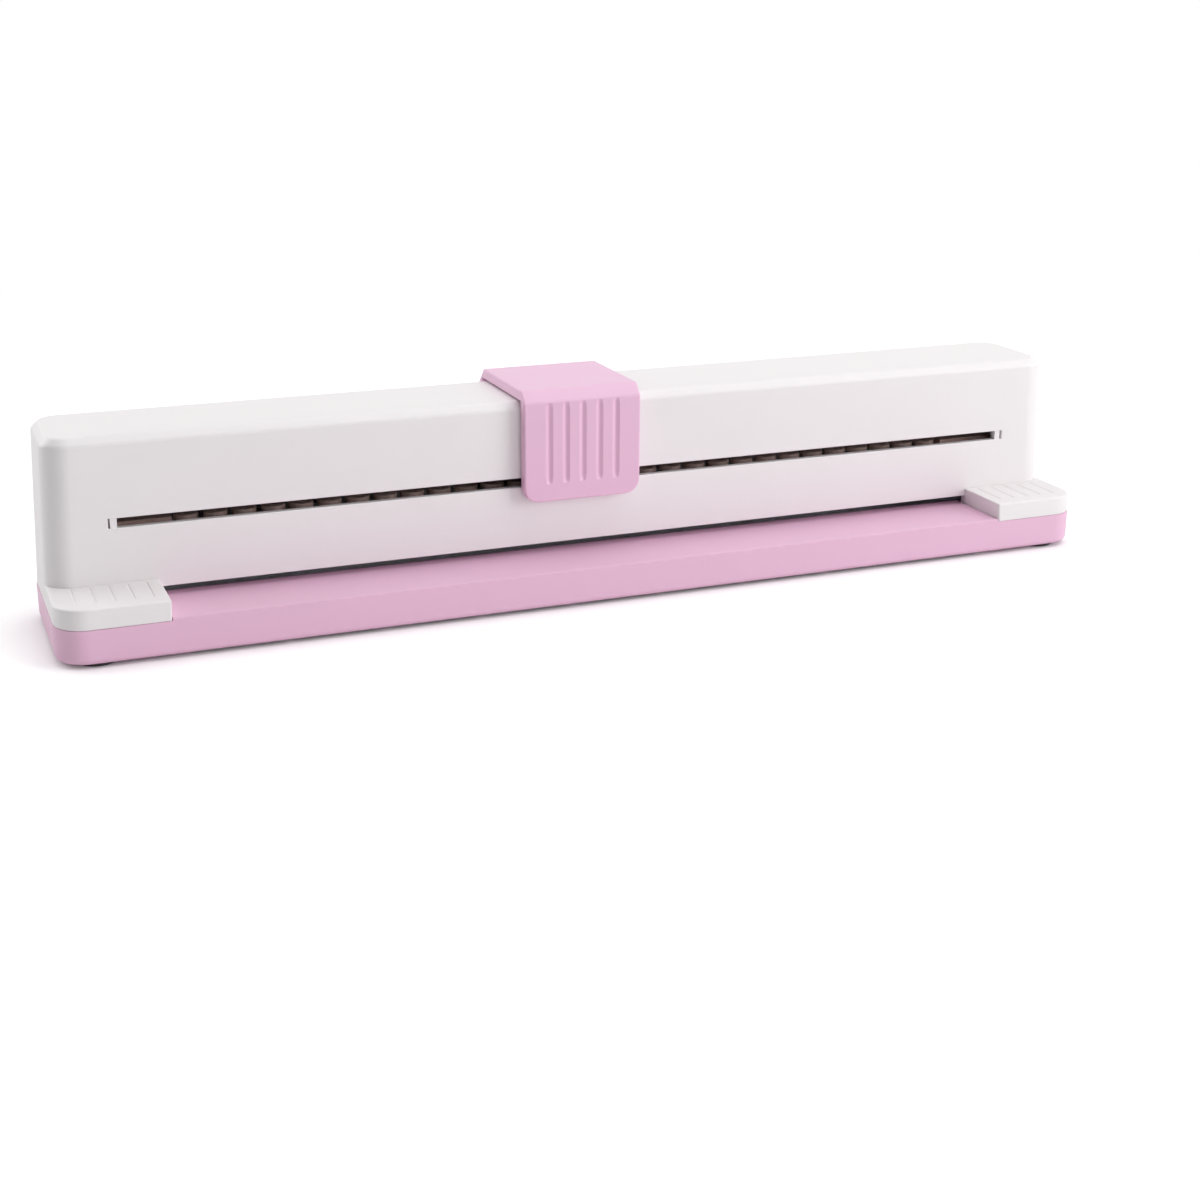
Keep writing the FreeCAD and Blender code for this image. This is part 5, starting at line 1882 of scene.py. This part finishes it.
@dataclass
class Feet:
    """The four rubber feet, let into the underside."""

    profile: tuple[Pair, ...] = (
        (0.0, 0.35), (2.9, 0.35), (3.3, 0.05), (3.5, 0.0), (5.8, 0.0), (6.2, 0.1), (6.42, 0.3), (6.5, 0.6),
        (6.5, 1.8), (0.0, 1.8),
    )
    places: tuple[Pair, ...] = both_ends((171.8, -24.4), (171.8, 12.1))

    def build(self) -> Blank:
        """Turns one foot with a soft rim and a sunk middle, and copies it to the four places."""
        return Blank.turned("foot_pattern", self.profile, 48).smooth().row("rubber_feet", self.places)

    def dress(self, wardrobe: Wardrobe) -> None:
        """Builds the feet and dresses them in rubber."""
        wardrobe.dress(self.build(), "punch_body", "foot_rubber", "feet")


@dataclass
class Inside:
    """The inner plates and the other pieces of the frame whose shape is right as it is."""

    slots: dict[str, str] = field(default_factory=lambda: {
        part["node"]: part["material_slot"] for part in frame["record"]["subparts"]
    })

    def dress(self, wardrobe: Wardrobe) -> None:
        """Dresses every piece of the frame that still shows.

        Args:
            wardrobe: The finishes.
        """
        for name, node in frame["nodes"].items():
            if not node.hide_render:
                node.data.materials.clear()
                node.data.materials.append(wardrobe.material(self.slots[name]))
                log.info("%s: frame node in %s", name, self.slots[name])


@dataclass(frozen=True)
class Lamp:
    """A square soft box: where it hangs, the length of its side in metres and its power in watts."""

    name: str
    at: Triple
    size: float
    power: float

    def hang(self, target: Triple) -> None:
        """Hangs the lamp so that it faces a point.

        Args:
            target: The point.
        """
        light = bpy.data.lights.new(self.name, "AREA")
        light.shape = "SQUARE"
        light.size = self.size
        light.energy = self.power
        lamp = bpy.data.objects.new(self.name, light)
        bpy.context.scene.collection.objects.link(lamp)
        lamp.location = metres(self.at)
        lamp.rotation_euler = (metres(target) - metres(self.at)).to_track_quat("-Z", "Y").to_euler()


@dataclass
class Studio:
    """The pale floor, the soft lamps and world, and the camera at the photograph's viewing angle."""

    camera_at: Triple = (-227.56, -572.03, 202.17)
    yaw: float = 22.182
    pitch: float = -18.988
    roll: float = 0.333
    focal_pixels: float = 1828.04
    image_width: float = 1200.0
    sensor_width: float = 36.0
    clip: Pair = (0.01, 100.0)
    white: Shade = (1.0, 1.0, 1.0, 1.0)
    ambient: float = 0.18
    floor_size: float = 60.0
    floor_shade: Shade = (0.9, 0.9, 0.9, 1.0)
    lift: float = 0.34
    # How far, in metres, the painted contact shade under the object reaches.
    contact_shade_reach: float = 0.02
    shadow_reach: float = 0.35
    target: Triple = (0.0, 0.0, 30.0)
    lamps: tuple[Lamp, ...] = (
        Lamp("key_lamp", (900.0, -700.0, 900.0), 0.9, 5.0),
        Lamp("low_lamp", (1200.0, -900.0, 320.0), 0.8, 8.0),
        Lamp("front_lamp", (100.0, -1400.0, 380.0), 0.8, 2.2),
        Lamp("top_lamp", (200.0, 100.0, 1300.0), 1.2, 9.6),
        Lamp("left_lamp", (-1150.0, 850.0, 450.0), 0.9, 7.2),
        Lamp("back_lamp", (-700.0, 1200.0, 900.0), 1.0, 3.5),
    )

    def camera(self) -> None:
        """Sets up the camera."""
        yaw, pitch, roll = (math.radians(angle) for angle in (self.yaw, self.pitch, self.roll))
        ahead = Vector((math.sin(yaw) * math.cos(pitch), math.cos(yaw) * math.cos(pitch), math.sin(pitch)))
        level = Vector((math.cos(yaw), -math.sin(yaw), 0.0))
        upward = level.cross(ahead)
        right = math.cos(roll) * level + math.sin(roll) * upward
        top = -math.sin(roll) * level + math.cos(roll) * upward
        lens = bpy.data.cameras.new("camera")
        lens.sensor_width = self.sensor_width
        lens.lens = self.focal_pixels / self.image_width * self.sensor_width
        lens.clip_start, lens.clip_end = self.clip
        camera = bpy.data.objects.new("camera", lens)
        bpy.context.scene.collection.objects.link(camera)
        turned = Matrix((right, top, -ahead)).transposed().to_4x4()
        camera.matrix_world = Matrix.Translation(metres(self.camera_at)) @ turned
        bpy.context.scene.camera = camera

    def world(self) -> None:
        """Sets up a world that lights softly and shows as plain white."""
        world = bpy.data.worlds.new("studio")
        bpy.context.scene.world = world
        sheet = Sheet.emptied(world)
        path = sheet.node("LightPath").outputs
        seen = sheet.math("MAXIMUM", path["Is Camera Ray"],
                          sheet.math("MAXIMUM", path["Is Glossy Ray"], path["Is Transmission Ray"]))
        strength = sheet.spread(seen, 0.0, 1.0, self.ambient, 1.0)
        light = sheet.node("Background", {"Color": self.white, "Strength": strength})
        sheet.node("OutputWorld", {"Surface": light.outputs["Background"]})

    def floor(self) -> None:
        """Lays a pale floor that keeps the object's shadow, with its glow taken away under the object as
        painted contact shade, and turns to plain white further out.
        """
        Blank.clear_bench()
        bpy.ops.mesh.primitive_plane_add(size=self.floor_size, location=(0.0, 0.0, 0.0))
        floor = bpy.context.object
        floor.name = "floor"
        material = bpy.data.materials.new("floor")
        sheet = Sheet.emptied(material)
        seen = sheet.node("LightPath").outputs["Is Camera Ray"]
        place = sheet.node("TexCoord").outputs["Object"]
        away = sheet.node("VectorMath", {"0": place}, operation="LENGTH").outputs["Value"]
        outside = sheet.math("MULTIPLY", seen, sheet.spread(away, self.shadow_reach, 2 * self.shadow_reach))
        board = sheet.node("BsdfDiffuse", {"Color": self.floor_shade})
        # Ambient occlusion takes the floor's glow away under the object: painted contact shade.
        free_of_painted_contact_shade = sheet.node("AmbientOcclusion", {"Distance": self.contact_shade_reach}, samples=8).outputs["AO"]
        lift = sheet.math("MULTIPLY", sheet.math("MULTIPLY", seen, self.lift), free_of_painted_contact_shade)
        glow = sheet.node("Emission", {"Color": self.white, "Strength": lift})
        lit = sheet.node("AddShader", {"0": board.outputs[0], "1": glow.outputs[0]})
        plain = sheet.node("Emission", {"Color": self.white, "Strength": 1.0})
        both = sheet.node("MixShader", {"0": outside, "1": lit.outputs[0], "2": plain.outputs[0]})
        sheet.node("OutputMaterial", {"Surface": both.outputs[0]})
        floor.data.materials.append(material)

    def build(self) -> None:
        """Sets up the whole studio."""
        self.camera()
        self.world()
        self.floor()
        for lamp in self.lamps:
            lamp.hang(self.target)
        bpy.context.scene.view_settings.view_transform = "Standard"


def main() -> None:
    """Clears the default scene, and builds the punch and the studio."""
    for name in ("Cube", "Light", "Camera"):
        if name in bpy.data.objects:
            bpy.data.objects.remove(bpy.data.objects[name])
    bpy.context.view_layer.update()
    wardrobe = Wardrobe()
    fasteners = Fasteners()
    feet = Feet()
    pins = PinRow()
    rollers = Rollers()
    Housing().dress(wardrobe)
    Base().dress(wardrobe, fasteners.places(), feet.places)
    ChipTray().dress(wardrobe)
    SaddleCap().dress(wardrobe)
    feet.dress(wardrobe)
    pins.dress(wardrobe)
    SpringRow().dress(wardrobe, pins.places())
    rollers.dress(wardrobe)
    Axles().dress(wardrobe, rollers)
    fasteners.dress(wardrobe)
    Inside().dress(wardrobe)
    Studio().build()


if __name__ == "__main__":
    main()
